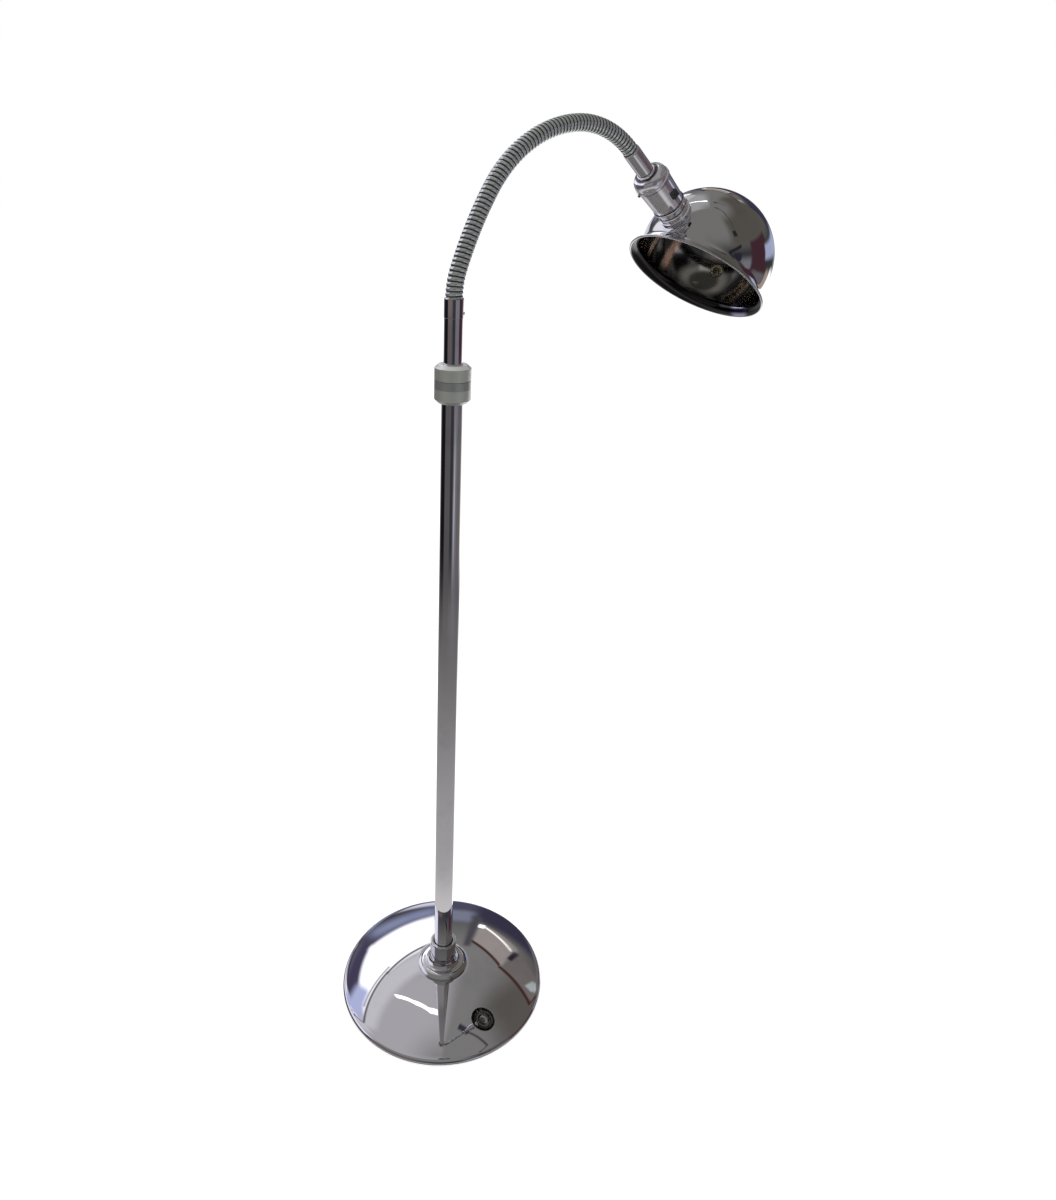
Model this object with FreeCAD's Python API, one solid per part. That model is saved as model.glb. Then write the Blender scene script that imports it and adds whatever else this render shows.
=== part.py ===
"""Floor-standing chrome examination lamp: weighted round base, telescopic mast, flexible neck, domed shade.

Millimetres, +Z up. The origin is the centre of the floor face, under the mast, and the neck bends in the XZ plane
towards +X. Every piece is its own solid in its own STEP file.
"""
import FreeCAD, Part
import math
import os

from FreeCAD import Vector

# ---- Driving dimensions ------------------------------------------------------------------------------------------

# Clearances
SLIDE_GAP = 0.075      # radial, upper tube in its collet
PLAY = 0.3             # between pieces of bodies that move against each other
SEAT_GAP = 0.05        # radial, pieces that are pushed together and stay
GUIDE_GAP = 0.1        # radial, guide bush in the lower tube

# Base
BASE_R = 125.0
BASE_SHEET = 1.2
HEM_R = 4.0            # rolled hem at the rim of the base
HEM_LIFT = 1.0         # hem above the floor
DOME_TOP = 27.5        # seat of the flange above the floor
DOME_SEAT_R = 31.5
DOME_CROWN = 2.6       # how far the dome bulges over a straight cone
PAD_THICK = 3.0
PAD_INSET = 13.0       # edge of the pad inside the edge of the base
PAD_TREAD = 15.0       # width of the ring of the pad that stands on the floor
PAD_BOSS_R = 23.0
PAD_RECESS = 1.0
WEIGHT_RIM_GAP = 6.0   # weight inside the hem
NUT_POCKET_R = 19.0
NUT_POCKET_DEPTH = 12.0

# Tie between base and mast
STUD_R = 5.0
WASHER_R = 15.0
WASHER_THICK = 2.5
NUT_FLATS = 17.0
NUT_THICK = 8.0
PLUG_LENGTH = 24.0

# Flange
FLANGE_R = 30.5
FLANGE_EDGE = 2.2
FLANGE_STEP_R = 23.0
FLANGE_STEP_Z = 6.0
FLANGE_FLOOR = 5.5     # metal under the tube
SLEEVE_R = 16.0
SLEEVE_TOP = 35.5      # above the flange's seat
SLEEVE_LIP = 1.5
SLEEVE_MOUTH = 1.2     # bevel round the tube
FLANGE_FILLET = 7.0

# Tubes
LOWER_TUBE_R = 11.1
LOWER_TUBE_WALL = 1.2
UPPER_TUBE_R = 9.525
UPPER_TUBE_WALL = 1.2
COLLAR_FOOT = 753.4    # lower edge of the collar above the floor
MAST_TOP = 857.0       # top of the mast's ferrule, where the neck starts
UPPER_TUBE_FOOT = 215.0

# Cable outlet
OUTLET_Z = 90.0
OUTLET_R = 4.0
GROMMET_HOLE_R = 2.9
GROMMET_LIP = 1.4
GROMMET_LIP_R = 5.6

# Collar and clamp
COLLAR_R = 18.5
COLLAR_HEIGHT = 23.2
COLLAR_CHAMFER = 4.2
TUBE_SOCKET = 14.0     # how far the lower tube enters the collar
SPIGOT_R = 14.6
SPIGOT_HEIGHT = 7.0
CLAMP_HEIGHT = 15.6
CLAMP_CHAMFER = 3.8
CLAMP_ROOF = 3.0
COLLET_WALL = 3.0
COLLET_SINK = 1.0      # foot of the collet in the collar
COLLET_SLIT = 1.6

# Guide bush at the foot of the upper tube
BUSH_FLANGE = 12.0
BUSH_SPIGOT = 14.0
BUSH_HOLE_R = 4.5

# Neck
NECK_BENDS = ((1, 20.0), (3, 12.0), (5, 54.5), (3, 42.0))   # stretches: (links, turn in degrees)
LINK_LENGTH = 27.1     # along the centre line
NECK_CREST_R = 8.75
NECK_GROOVE = 0.9      # depth of the groove between two coils
COILS_PER_LINK = 6
NECK_BORE_R = 3.6
BALL_R = 7.2
MOUTH_GAP = 2.1        # between the mouth of one link and the next link's first coil
BALL_REACH = 5.0       # how far a ball stands into the socket before it
LINK_SPIGOT_R = 7.2    # plain end of the last link, in the head's ferrule
LINK_SPIGOT = 7.0

# Ferrules at both ends of the neck
MAST_FERRULE_R = 9.8
MAST_FERRULE = 19.0
MAST_FERRULE_SPIGOT = 16.0
HEAD_FERRULE = 31.5
FERRULE_SHOULDER = 1.0
SCREW_R = 1.5
SCREW_PROUD = 0.7
SCREW_DROP = 14.5      # screw below the mast's top
SCREW_AZIMUTH = -42.0

# Lampholder, measured along its axis from the top of its cap
NIPPLE_R = 4.9
NIPPLE_BORE_R = 3.2
NIPPLE_IN_FERRULE = 12.0
NIPPLE_IN_CAP = 7.0
CAP_HUB_R = 11.0
CAP_HUB = 2.6
CAP_R = 20.8
CAP_DOME = 13.5
CAP_HEIGHT = 17.0
HOLDER_SHEET = 0.9
SHELL_TOP = 15.0
SHELL_TOP_R = 19.7
SHELL_WAIST = 52.0
SHELL_WAIST_R = 18.3
SHELL_BEAD = 1.0
SHELL_END = 61.0
SHELL_END_R = 17.7
SWITCH_AT = 36.0
SWITCH_SIZE = 8.6
SWITCH_PROUD = 3.2     # the end that is out
SWITCH_TRAVEL = 2.7
SWITCH_BODY_TOP = 19.0
SWITCH_BODY_END = 50.0
LAMP_BORE_R = 13.3     # inside of the lamp's screw shell
SCREW_SHELL_WALL = 0.4
SCREW_SHELL_SINK = 2.5   # under the liner's mouth
LINER_WALL = 1.6
LINER_FLOOR = 2.5
LINER_END = 82.0
CONTACT_R = 5.0
CONTACT_THICK = 2.0
CONTACT_CLEAR = 0.6      # under the foot of the screw shell
RING_TOP_R = 17.6
RING_FOOT_R = 19.0
RING_BEAD = 0.8
RING_FOOT = 3.2
INNER_NUT_R = 19.5
INNER_NUT = 7.5

# Shade
SHADE_R = 79.2         # outside of the spherical crown
SHADE_SHEET = 0.8
CROWN_ANGLE = 101.0    # from the pole down to the flare
FLARE_R = 11.5         # outside of the sweep that turns the wall outward
LIP_ANGLE = 15.0       # between the lip and the rim's plane
RIM_BEAD_R = 1.3
RING_REACH = 70.8      # from the cap's top to the crown
SHADE_TILT = 34.8      # crown from the vertical


# ---- Helpers -----------------------------------------------------------------------------------------------------

def turned(points, axis_wise=()):
    """Revolve a closed outline of (radius, height) points about Z; three-point items are (via, end) arcs."""
    edges = []
    here = Vector(points[0][0], 0, points[0][1])
    first = here
    for item in list(points[1:]) + [points[0]]:
        if isinstance(item[0], tuple):
            via = Vector(item[0][0], 0, item[0][1])
            there = Vector(item[1][0], 0, item[1][1])
            edges.append(Part.Arc(here, via, there).toShape())
        else:
            there = Vector(item[0], 0, item[1])
            if there.distanceToPoint(here) < 1e-6:
                continue
            edges.append(Part.makeLine(here, there))
        here = there
    assert here.distanceToPoint(first) < 1e-6
    return Part.Face(Part.Wire(edges)).revolve(Vector(), Vector(0, 0, 1), 360)


def ring(outer, inner, low, high):
    """A plain ring about Z."""
    return turned([(inner, low), (outer, low), (outer, high), (inner, high)])


def rod(radius, low, high):
    return Part.makeCylinder(radius, high - low, Vector(0, 0, low))


def arc_middle(a, b, bulge):
    """The middle point of an arc from a to b that bulges to the left of a-b by `bulge`."""
    dx = b[0] - a[0]
    dz = b[1] - a[1]
    span = math.hypot(dx, dz)
    return ((a[0] + b[0]) / 2 - dz / span * bulge, (a[1] + b[1]) / 2 + dx / span * bulge)


def save(shape, name):
    """One solid, one file."""
    shape = shape.removeSplitter() if shape.ShapeType != "Solid" else shape
    solids = shape.Solids
    assert len(solids) == 1 and solids[0].isValid(), (name, len(solids))
    solids[0].exportStep("parts/%s.step" % name)
    pieces[name] = solids[0]


# ---- Neck path ---------------------------------------------------------------------------------------------------

LINK_TURNS = [math.radians(turn / links) for links, turn in NECK_BENDS for link in range(links)]
NECK_LINKS = len(LINK_TURNS)
NECK_LENGTH = NECK_LINKS * LINK_LENGTH
COIL_PITCH = LINK_LENGTH / COILS_PER_LINK


def neck_at(s):
    """Point and lean (radians from +Z towards +X) of the neck's centre line at arc length s."""
    x, z, lean = 0.0, MAST_TOP, 0.0
    for turn in LINK_TURNS:
        radius = LINK_LENGTH / turn
        new = lean + min(max(s, 0.0), LINK_LENGTH) / radius
        x += radius * (math.cos(lean) - math.cos(new))
        z += radius * (math.sin(new) - math.sin(lean))
        lean = new
        s -= LINK_LENGTH
    return Vector(x, 0, z), lean


def along(point, lean):
    """A placement whose Z axis runs along the neck or the head at that point."""
    return FreeCAD.Placement(point, FreeCAD.Rotation(Vector(0, 1, 0), math.degrees(lean)))


def placed(shape, placement):
    moved = shape.copy()
    moved.Placement = placement
    return moved


NECK_END, HEAD_LEAN = neck_at(NECK_LENGTH)
HEAD_AXIS = Vector(math.sin(HEAD_LEAN), 0, math.cos(HEAD_LEAN))
CAP_TOP = NECK_END + HEAD_AXIS * HEAD_FERRULE
HOLDER = along(CAP_TOP, HEAD_LEAN)
CROWN_AT = RING_REACH + SHADE_R          # sphere centre, from the cap's top
CROWN_CENTRE = CAP_TOP + HEAD_AXIS * CROWN_AT
SHADE = along(CROWN_CENTRE, math.radians(SHADE_TILT))


# ---- Base --------------------------------------------------------------------------------------------------------

def dome_arc(sink):
    """Foot, middle and top of the dome's line, `sink` under its outside."""
    foot = (BASE_R - HEM_R, HEM_LIFT + 2 * HEM_R - sink)
    top = (DOME_SEAT_R, DOME_TOP - sink)
    return foot, arc_middle(foot, top, -DOME_CROWN), top


def base_shell():
    foot, middle, top = dome_arc(0.0)
    foot_in, middle_in, top_in = dome_arc(BASE_SHEET)
    hem_z = HEM_LIFT + HEM_R
    inner_hem = HEM_R - BASE_SHEET
    return turned([
        (STUD_R + PLAY, top[1]),
        top,
        (middle, foot),
        ((BASE_R, hem_z), (BASE_R - HEM_R, HEM_LIFT)),
        (BASE_R - 2 * HEM_R, HEM_LIFT),
        (BASE_R - 2 * HEM_R, HEM_LIFT + BASE_SHEET),
        (BASE_R - HEM_R, HEM_LIFT + BASE_SHEET),
        ((BASE_R - HEM_R + inner_hem, hem_z), foot_in),
        (middle_in, top_in),
        (STUD_R + PLAY, top_in[1]),
    ])


def floor_pad():
    """Rubber disc under the whole base; it stands on an outer tread and a boss under the tie nut."""
    edge = BASE_R - PAD_INSET
    return turned([
        (0, 0),
        (PAD_BOSS_R, 0),
        (PAD_BOSS_R + PAD_RECESS, PAD_RECESS),
        (edge - PAD_TREAD - PAD_RECESS, PAD_RECESS),
        (edge - PAD_TREAD, 0),
        (edge - 0.5, 0),
        (edge, 0.5),
        (edge, PAD_THICK),
        (0, PAD_THICK),
    ])


def base_weight():
    """Cast ballast: its top follows the dome and bears on the dome's flat seat."""
    foot, middle, top = dome_arc(BASE_SHEET + PLAY)
    outer = BASE_R - 2 * HEM_R - WEIGHT_RIM_GAP
    slope = (top[1] - foot[1]) / (foot[0] - top[0])
    shoulder = foot[1] + slope * (foot[0] - outer)
    seat = DOME_TOP - BASE_SHEET
    pocket = PAD_THICK + NUT_POCKET_DEPTH
    return turned([
        (STUD_R + PLAY, pocket),
        (NUT_POCKET_R, pocket),
        (NUT_POCKET_R, PAD_THICK),
        (outer, PAD_THICK),
        (outer, shoulder - PLAY),
        (arc_middle((outer, shoulder - PLAY), top, -DOME_CROWN * 0.8), top),
        (DOME_SEAT_R - 1.0, seat),
        (STUD_R + PLAY, seat),
    ])


def hex_nut(flats, hole, low, thick):
    corners = flats / math.sqrt(3)
    points = [Vector(corners * math.cos(math.radians(a)), corners * math.sin(math.radians(a)), low)
              for a in range(0, 420, 60)]
    body = Part.Face(Part.makePolygon(points)).extrude(Vector(0, 0, thick))
    dress = turned([
        (0, low),
        (flats / 2, low),
        (corners, low + (corners - flats / 2) * 0.6),
        (corners, low + thick),
        (0, low + thick),
    ])
    return body.common(dress).cut(rod(hole, low - 1, low + thick + 1))


def flange():
    z = DOME_TOP
    floor = z + FLANGE_FLOOR
    top = z + SLEEVE_TOP
    step = z + FLANGE_STEP_Z
    bore = LOWER_TUBE_R + SEAT_GAP
    rise = step + FLANGE_FILLET
    corner = FLANGE_FILLET * (1 - math.sqrt(0.5))
    return turned([
        (STUD_R + PLAY, z),
        (FLANGE_R - 0.8, z),
        (FLANGE_R, z + 0.8),
        (FLANGE_R, z + FLANGE_EDGE),
        (arc_middle((FLANGE_R, z + FLANGE_EDGE), (FLANGE_STEP_R, step - 0.7), -0.7), (FLANGE_STEP_R, step - 0.7)),
        (FLANGE_STEP_R, step),
        ((SLEEVE_R + corner, rise - FLANGE_FILLET + corner), (SLEEVE_R, rise)),
        (SLEEVE_R, top - SLEEVE_LIP),
        ((SLEEVE_R - SLEEVE_LIP * (1 - math.sqrt(0.5)), top - SLEEVE_LIP * (1 - math.sqrt(0.5))),
         (SLEEVE_R - SLEEVE_LIP, top)),
        (bore + SLEEVE_MOUTH, top),
        (bore, top - 2 * SLEEVE_MOUTH),
        (bore, floor),
        (STUD_R + PLAY, floor),
    ])


TUBE_FOOT = DOME_TOP + FLANGE_FLOOR
LOWER_TUBE_TOP = COLLAR_FOOT + TUBE_SOCKET
LOWER_TUBE_BORE = LOWER_TUBE_R - LOWER_TUBE_WALL
UPPER_TUBE_BORE = UPPER_TUBE_R - UPPER_TUBE_WALL
MAST_FERRULE_FOOT = MAST_TOP - MAST_FERRULE


def lower_tube():
    tube = ring(LOWER_TUBE_R, LOWER_TUBE_BORE, TUBE_FOOT, LOWER_TUBE_TOP)
    outlet = Part.makeCylinder(OUTLET_R, LOWER_TUBE_R + 5, Vector(0, 0, OUTLET_Z), Vector(0, 1, 0))
    return tube.cut(outlet)


def cable_grommet():
    """Rubber grommet in the outlet behind the tube's foot; a lip outside and a lip inside hold it."""
    body = turned([
        (GROMMET_HOLE_R, LOWER_TUBE_BORE - GROMMET_LIP),
        (OUTLET_R, LOWER_TUBE_BORE - GROMMET_LIP),
        (OUTLET_R, LOWER_TUBE_R - 1.0),
        (GROMMET_LIP_R, LOWER_TUBE_R - 1.0),
        (GROMMET_LIP_R, LOWER_TUBE_R + GROMMET_LIP * 0.5),
        (OUTLET_R, LOWER_TUBE_R + GROMMET_LIP),
        (GROMMET_HOLE_R, LOWER_TUBE_R + GROMMET_LIP),
    ])
    body.Placement = FreeCAD.Placement(Vector(0, 0, OUTLET_Z), FreeCAD.Rotation(Vector(1, 0, 0), -90))
    wall = ring(LOWER_TUBE_R, LOWER_TUBE_BORE, OUTLET_Z - 20, OUTLET_Z + 20)
    hole = Part.makeCylinder(OUTLET_R, LOWER_TUBE_R + 5, Vector(0, 0, OUTLET_Z), Vector(0, 1, 0))
    return body.cut(wall.cut(hole))


# ---- Collar and clamp --------------------------------------------------------------------------------------------

COLLAR_TOP = COLLAR_FOOT + COLLAR_HEIGHT
TUBE_WAY_R = UPPER_TUBE_R + PLAY          # plain way for the upper tube
COLLET_R = UPPER_TUBE_R + SLIDE_GAP + COLLET_WALL
COLLET_FOOT = COLLAR_TOP - COLLET_SINK
CLAMP_FOOT = COLLAR_TOP + PLAY
CLAMP_TOP = CLAMP_FOOT + CLAMP_HEIGHT
CLAMP_CEILING = CLAMP_TOP - CLAMP_ROOF
COLLET_TOP = CLAMP_CEILING - PLAY


def collar_body():
    tube_seat = LOWER_TUBE_R + SEAT_GAP
    return turned([
        (tube_seat, COLLAR_FOOT),
        (COLLAR_R - COLLAR_CHAMFER, COLLAR_FOOT),
        (COLLAR_R, COLLAR_FOOT + COLLAR_CHAMFER * 0.9),
        (COLLAR_R, COLLAR_TOP),
        (SPIGOT_R, COLLAR_TOP),
        (SPIGOT_R, COLLAR_TOP + SPIGOT_HEIGHT),
        (COLLET_R + SEAT_GAP, COLLAR_TOP + SPIGOT_HEIGHT),
        (COLLET_R + SEAT_GAP, COLLET_FOOT),
        (TUBE_WAY_R, COLLET_FOOT),
        (TUBE_WAY_R, LOWER_TUBE_TOP),
        (tube_seat, LOWER_TUBE_TOP),
    ])


def collet():
    inner = UPPER_TUBE_R + SLIDE_GAP
    nose = COLLET_WALL * 0.5
    body = turned([
        (inner, COLLET_FOOT),
        (COLLET_R, COLLET_FOOT),
        (COLLET_R, COLLET_TOP - nose),
        (COLLET_R - nose, COLLET_TOP),
        (inner, COLLET_TOP),
    ])
    height = COLLET_TOP - COLLET_FOOT
    slit = Part.makeBox(COLLET_R + 5, COLLET_SLIT, height + 2, Vector(0, -COLLET_SLIT / 2, COLLET_FOOT - 1))
    return body.cut(slit)


def clamp_nut():
    thread = SPIGOT_R + PLAY
    return turned([
        (thread, CLAMP_FOOT),
        (COLLAR_R, CLAMP_FOOT),
        (COLLAR_R, CLAMP_TOP - CLAMP_CHAMFER * 0.9),
        (COLLAR_R - CLAMP_CHAMFER, CLAMP_TOP),
        (TUBE_WAY_R, CLAMP_TOP),
        (TUBE_WAY_R, CLAMP_CEILING),
        (thread, CLAMP_CEILING),
    ])


# ---- Upper mast --------------------------------------------------------------------------------------------------

def guide_bush():
    spigot = UPPER_TUBE_BORE - SLIDE_GAP
    outer = LOWER_TUBE_BORE - GUIDE_GAP
    low = UPPER_TUBE_FOOT - PLAY - BUSH_FLANGE
    return turned([
        (BUSH_HOLE_R, low),
        (outer - 1.0, low),
        (outer, low + 1.0),
        (outer, UPPER_TUBE_FOOT - PLAY),
        (spigot, UPPER_TUBE_FOOT - PLAY),
        (spigot, UPPER_TUBE_FOOT + BUSH_SPIGOT),
        (BUSH_HOLE_R, UPPER_TUBE_FOOT + BUSH_SPIGOT),
    ])


SOCKET_R = BALL_R + PLAY


def mast_ferrule():
    """End fitting: pushed into the tube below, with a round socket for the neck's first ball above."""
    spigot = UPPER_TUBE_BORE - SEAT_GAP
    body = turned([
        (NECK_BORE_R, MAST_FERRULE_FOOT - MAST_FERRULE_SPIGOT),
        (spigot, MAST_FERRULE_FOOT - MAST_FERRULE_SPIGOT),
        (spigot, MAST_FERRULE_FOOT),
        (MAST_FERRULE_R, MAST_FERRULE_FOOT),
        (MAST_FERRULE_R, MAST_TOP - FERRULE_SHOULDER),
        (MAST_FERRULE_R - FERRULE_SHOULDER, MAST_TOP),
        (NECK_BORE_R, MAST_TOP),
    ])
    return body.cut(Part.makeSphere(SOCKET_R, Vector(0, 0, MAST_TOP))).cut(screw_hole(SCREW_R + SEAT_GAP))


def screw_hole(radius):
    azimuth = math.radians(SCREW_AZIMUTH)
    outward = Vector(math.cos(azimuth), math.sin(azimuth), 0)
    start = Vector(0, 0, MAST_TOP - SCREW_DROP) + outward * (NECK_BORE_R + 1.5)
    return Part.makeCylinder(radius, MAST_FERRULE_R + SCREW_PROUD - NECK_BORE_R - 1.5, start, outward)


# ---- Neck links --------------------------------------------------------------------------------------------------

def coil():
    """One turn of the coiled tube about Z: a crest between two grooves, a little longer than the pitch."""
    half = COIL_PITCH / 2
    extra = 0.15 * half
    foot = NECK_CREST_R - NECK_GROOVE * 1.15
    return turned([(0, -half - extra), (foot, -half - extra), (NECK_CREST_R, 0), (foot, half + extra), (0, half + extra)])


def link_bore(number):
    """Way for the wires: straight through the ball, then round the link's own bend."""
    start = (number - 1) * LINK_LENGTH
    turn = LINK_TURNS[number - 1]
    hinge, lean = neck_at(start)
    lead = rod(NECK_BORE_R, -BALL_R - 1, 0)
    mouth = Part.Face(Part.Wire(Part.makeCircle(NECK_BORE_R)))
    bend = mouth.revolve(Vector(LINK_LENGTH / turn, 0, 0), Vector(0, 1, 0), math.degrees(turn))
    return placed(lead.fuse(bend), along(hinge, lean))


def neck_link(number):
    """A stretch of coiled tube: a ball at its root turns in the socket at the end of the piece before it."""
    start = (number - 1) * LINK_LENGTH
    end = number * LINK_LENGTH
    hinge, lean = neck_at(start)
    coils = []
    for k in range(COILS_PER_LINK + 1):
        coils.append(placed(coil(), along(*neck_at(start + MOUTH_GAP / 2 + (k + 0.5) * COIL_PITCH))))
    body = coils[0].fuse(coils[1:])
    body = body.cut(placed(rod(2 * NECK_CREST_R, -COIL_PITCH, 0), along(*neck_at(start + MOUTH_GAP))))
    body = body.cut(placed(rod(2 * NECK_CREST_R, 0, 2 * COIL_PITCH), along(*neck_at(end))))

    ball = Part.makeSphere(BALL_R).common(rod(BALL_R + 1, -BALL_REACH, MOUTH_GAP + BALL_R * 0.4))
    body = body.fuse(placed(ball, along(hinge, lean)))
    body = body.cut(link_bore(number))
    if number < NECK_LINKS:
        return body.cut(Part.makeSphere(SOCKET_R, neck_at(end)[0]))
    spigot = ring(LINK_SPIGOT_R, NECK_BORE_R, 0, LINK_SPIGOT)
    return body.fuse(placed(spigot, along(*neck_at(end))))


# ---- Head: everything below is drawn along +Z from the cap's top, then laid along the head's axis ----------------

def head_ferrule():
    spigot = LINK_SPIGOT_R + SEAT_GAP
    web = -HEAD_FERRULE + LINK_SPIGOT + PLAY
    return turned([
        (spigot, -HEAD_FERRULE),
        (UPPER_TUBE_R - FERRULE_SHOULDER * 0.5, -HEAD_FERRULE),
        (UPPER_TUBE_R, -HEAD_FERRULE + FERRULE_SHOULDER * 0.5),
        (UPPER_TUBE_R, -FERRULE_SHOULDER),
        (UPPER_TUBE_R - FERRULE_SHOULDER, 0),
        (NIPPLE_R + SEAT_GAP, 0),
        (NIPPLE_R + SEAT_GAP, -NIPPLE_IN_FERRULE),
        (NIPPLE_BORE_R, -NIPPLE_IN_FERRULE),
        (NIPPLE_BORE_R, web),
        (spigot, web),
    ])


def lampholder_cap():
    t = HOLDER_SHEET
    hub_in = NIPPLE_R + SEAT_GAP
    dome = ((CAP_HUB_R, CAP_HUB), (CAP_R - 1.2, CAP_DOME))
    inner = ((CAP_HUB_R - t, CAP_HUB + t), (CAP_R - 1.2 - t, CAP_DOME + t * 0.6))
    return turned([
        (hub_in, 0),
        (CAP_HUB_R - 1.5, 0),
        ((CAP_HUB_R - 0.4, 0.4), (CAP_HUB_R, 1.5)),
        (CAP_HUB_R, CAP_HUB),
        (arc_middle(dome[0], dome[1], -3.0), dome[1]),
        (CAP_R, CAP_DOME + 0.8),
        (CAP_R, CAP_HEIGHT),
        (CAP_R - t, CAP_HEIGHT),
        (CAP_R - t, CAP_DOME + t * 0.6 + 0.6),
        inner[1],
        (arc_middle(inner[1], inner[0], 3.0), inner[0]),
        (CAP_HUB_R - t, NIPPLE_IN_CAP + 1),
        (hub_in, NIPPLE_IN_CAP + 1),
    ])


def switch_way(extra):
    side = SWITCH_SIZE + 2 * extra
    reach = 4 * CAP_R
    return Part.makeBox(side, reach, side, Vector(-side / 2, -reach / 2, SWITCH_AT - side / 2))


def lampholder_shell():
    t = HOLDER_SHEET
    bead = SHELL_WAIST + 2.0
    shell = turned([
        (SHELL_TOP_R - t, SHELL_TOP),
        (SHELL_TOP_R, SHELL_TOP),
        (SHELL_TOP_R, CAP_HEIGHT + 4),
        (SHELL_WAIST_R, SHELL_WAIST),
        ((SHELL_WAIST_R + SHELL_BEAD, bead), (SHELL_WAIST_R, bead + 2)),
        (SHELL_END_R, bead + 2.6),
        (SHELL_END_R, SHELL_END),
        (SHELL_END_R - 1.2, SHELL_END + 0.6),
        (LINER_R + SEAT_GAP, SHELL_END + 0.6),
        (LINER_R + SEAT_GAP, SHELL_END + 0.6 - t),
        (SHELL_END_R - t - 0.6, SHELL_END + 0.6 - t),
        (SHELL_END_R - t, SHELL_END - t),
        (SHELL_END_R - t, bead + 2.6 - t * 0.4),
        (SHELL_WAIST_R - t, SHELL_WAIST),
        (SHELL_TOP_R - t, CAP_HEIGHT + 4),
    ])
    return shell.cut(switch_way(PLAY))


LINER_BORE_R = LAMP_BORE_R + SCREW_SHELL_WALL + SEAT_GAP
LINER_R = LINER_BORE_R + LINER_WALL


def socket_liner():
    """Insulating sleeve: carries the screw shell, and its threaded mouth passes through the shade."""
    return turned([
        (0, SWITCH_BODY_END),
        (LINER_R, SWITCH_BODY_END),
        (LINER_R, LINER_END - 0.6),
        (LINER_R - 0.6, LINER_END),
        (LINER_BORE_R, LINER_END),
        (LINER_BORE_R, SWITCH_BODY_END + LINER_FLOOR),
        (0, SWITCH_BODY_END + LINER_FLOOR),
    ])


def screw_shell():
    """Rolled shell in the liner's bore; its foot is turned in over the centre contact."""
    low = SWITCH_BODY_END + LINER_FLOOR + CONTACT_THICK + CONTACT_CLEAR
    top = LINER_END - SCREW_SHELL_SINK
    outer = LAMP_BORE_R + SCREW_SHELL_WALL
    return turned([
        (CONTACT_R + 3, low),
        (outer, low),
        (outer, top),
        (LAMP_BORE_R, top),
        (LAMP_BORE_R, low + SCREW_SHELL_WALL),
        (CONTACT_R + 3, low + SCREW_SHELL_WALL),
    ])


def centre_contact():
    low = SWITCH_BODY_END + LINER_FLOOR
    return turned([
        (0, low),
        (CONTACT_R, low),
        (CONTACT_R, low + CONTACT_THICK * 0.5),
        (CONTACT_R * 0.5, low + CONTACT_THICK),
        (0, low + CONTACT_THICK),
    ])


def switch_body():
    """Insulating block behind the socket, open across for the push-through bar."""
    inside = SHELL_WAIST_R - HOLDER_SHEET - PLAY
    top_in = SHELL_TOP_R - HOLDER_SHEET - PLAY
    block = turned([
        (0, SWITCH_BODY_TOP),
        (top_in - 1.5, SWITCH_BODY_TOP),
        (top_in, SWITCH_BODY_TOP + 1.5),
        (inside, SWITCH_BODY_END),
        (0, SWITCH_BODY_END),
    ])
    return block.cut(switch_way(PLAY))


def shell_radius_at(w):
    """Outside of the tapered shell at w."""
    share = (w - CAP_HEIGHT - 4) / (SHELL_WAIST - CAP_HEIGHT - 4)
    return SHELL_TOP_R + (SHELL_WAIST_R - SHELL_TOP_R) * share


def switch_bar():
    side = SWITCH_SIZE
    outside = shell_radius_at(SWITCH_AT)
    low = -outside - SWITCH_PROUD
    length = 2 * outside + 2 * SWITCH_PROUD - SWITCH_TRAVEL
    bar = Part.makeBox(side, length, side, Vector(-side / 2, low, SWITCH_AT - side / 2))
    ends = [edge for edge in bar.Edges if edge.BoundBox.YLength < 1e-6]
    return bar.makeChamfer(0.6, ends)


def crown_ball(radius):
    return Part.makeSphere(radius, Vector(0, 0, CROWN_AT))


def shade_ring():
    """Ring nut that clamps the shade; its foot is hollowed to sit on the crown."""
    low = SHELL_END + 0.6
    high = RING_REACH
    reach = high + 6
    ring_nut = turned([
        (LINER_R + SEAT_GAP, low),
        (RING_TOP_R, low),
        ((RING_TOP_R + RING_BEAD, low + 2), (RING_TOP_R, low + 4)),
        (RING_TOP_R, high - RING_FOOT),
        (RING_FOOT_R, high - RING_FOOT + 0.8),
        (RING_FOOT_R, reach),
        (LINER_R + SEAT_GAP, reach),
    ])
    return ring_nut.cut(crown_ball(SHADE_R))


def inner_nut():
    """Flat ring nut on the threaded mouth, inside the shade."""
    low = RING_REACH
    high = RING_REACH + SHADE_SHEET + INNER_NUT
    nut = ring(INNER_NUT_R, LINER_R + SEAT_GAP, low, high)
    return nut.common(crown_ball(SHADE_R - SHADE_SHEET))


# ---- Shade: drawn with its crown up about the centre of its sphere ------------------------------------------------

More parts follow.
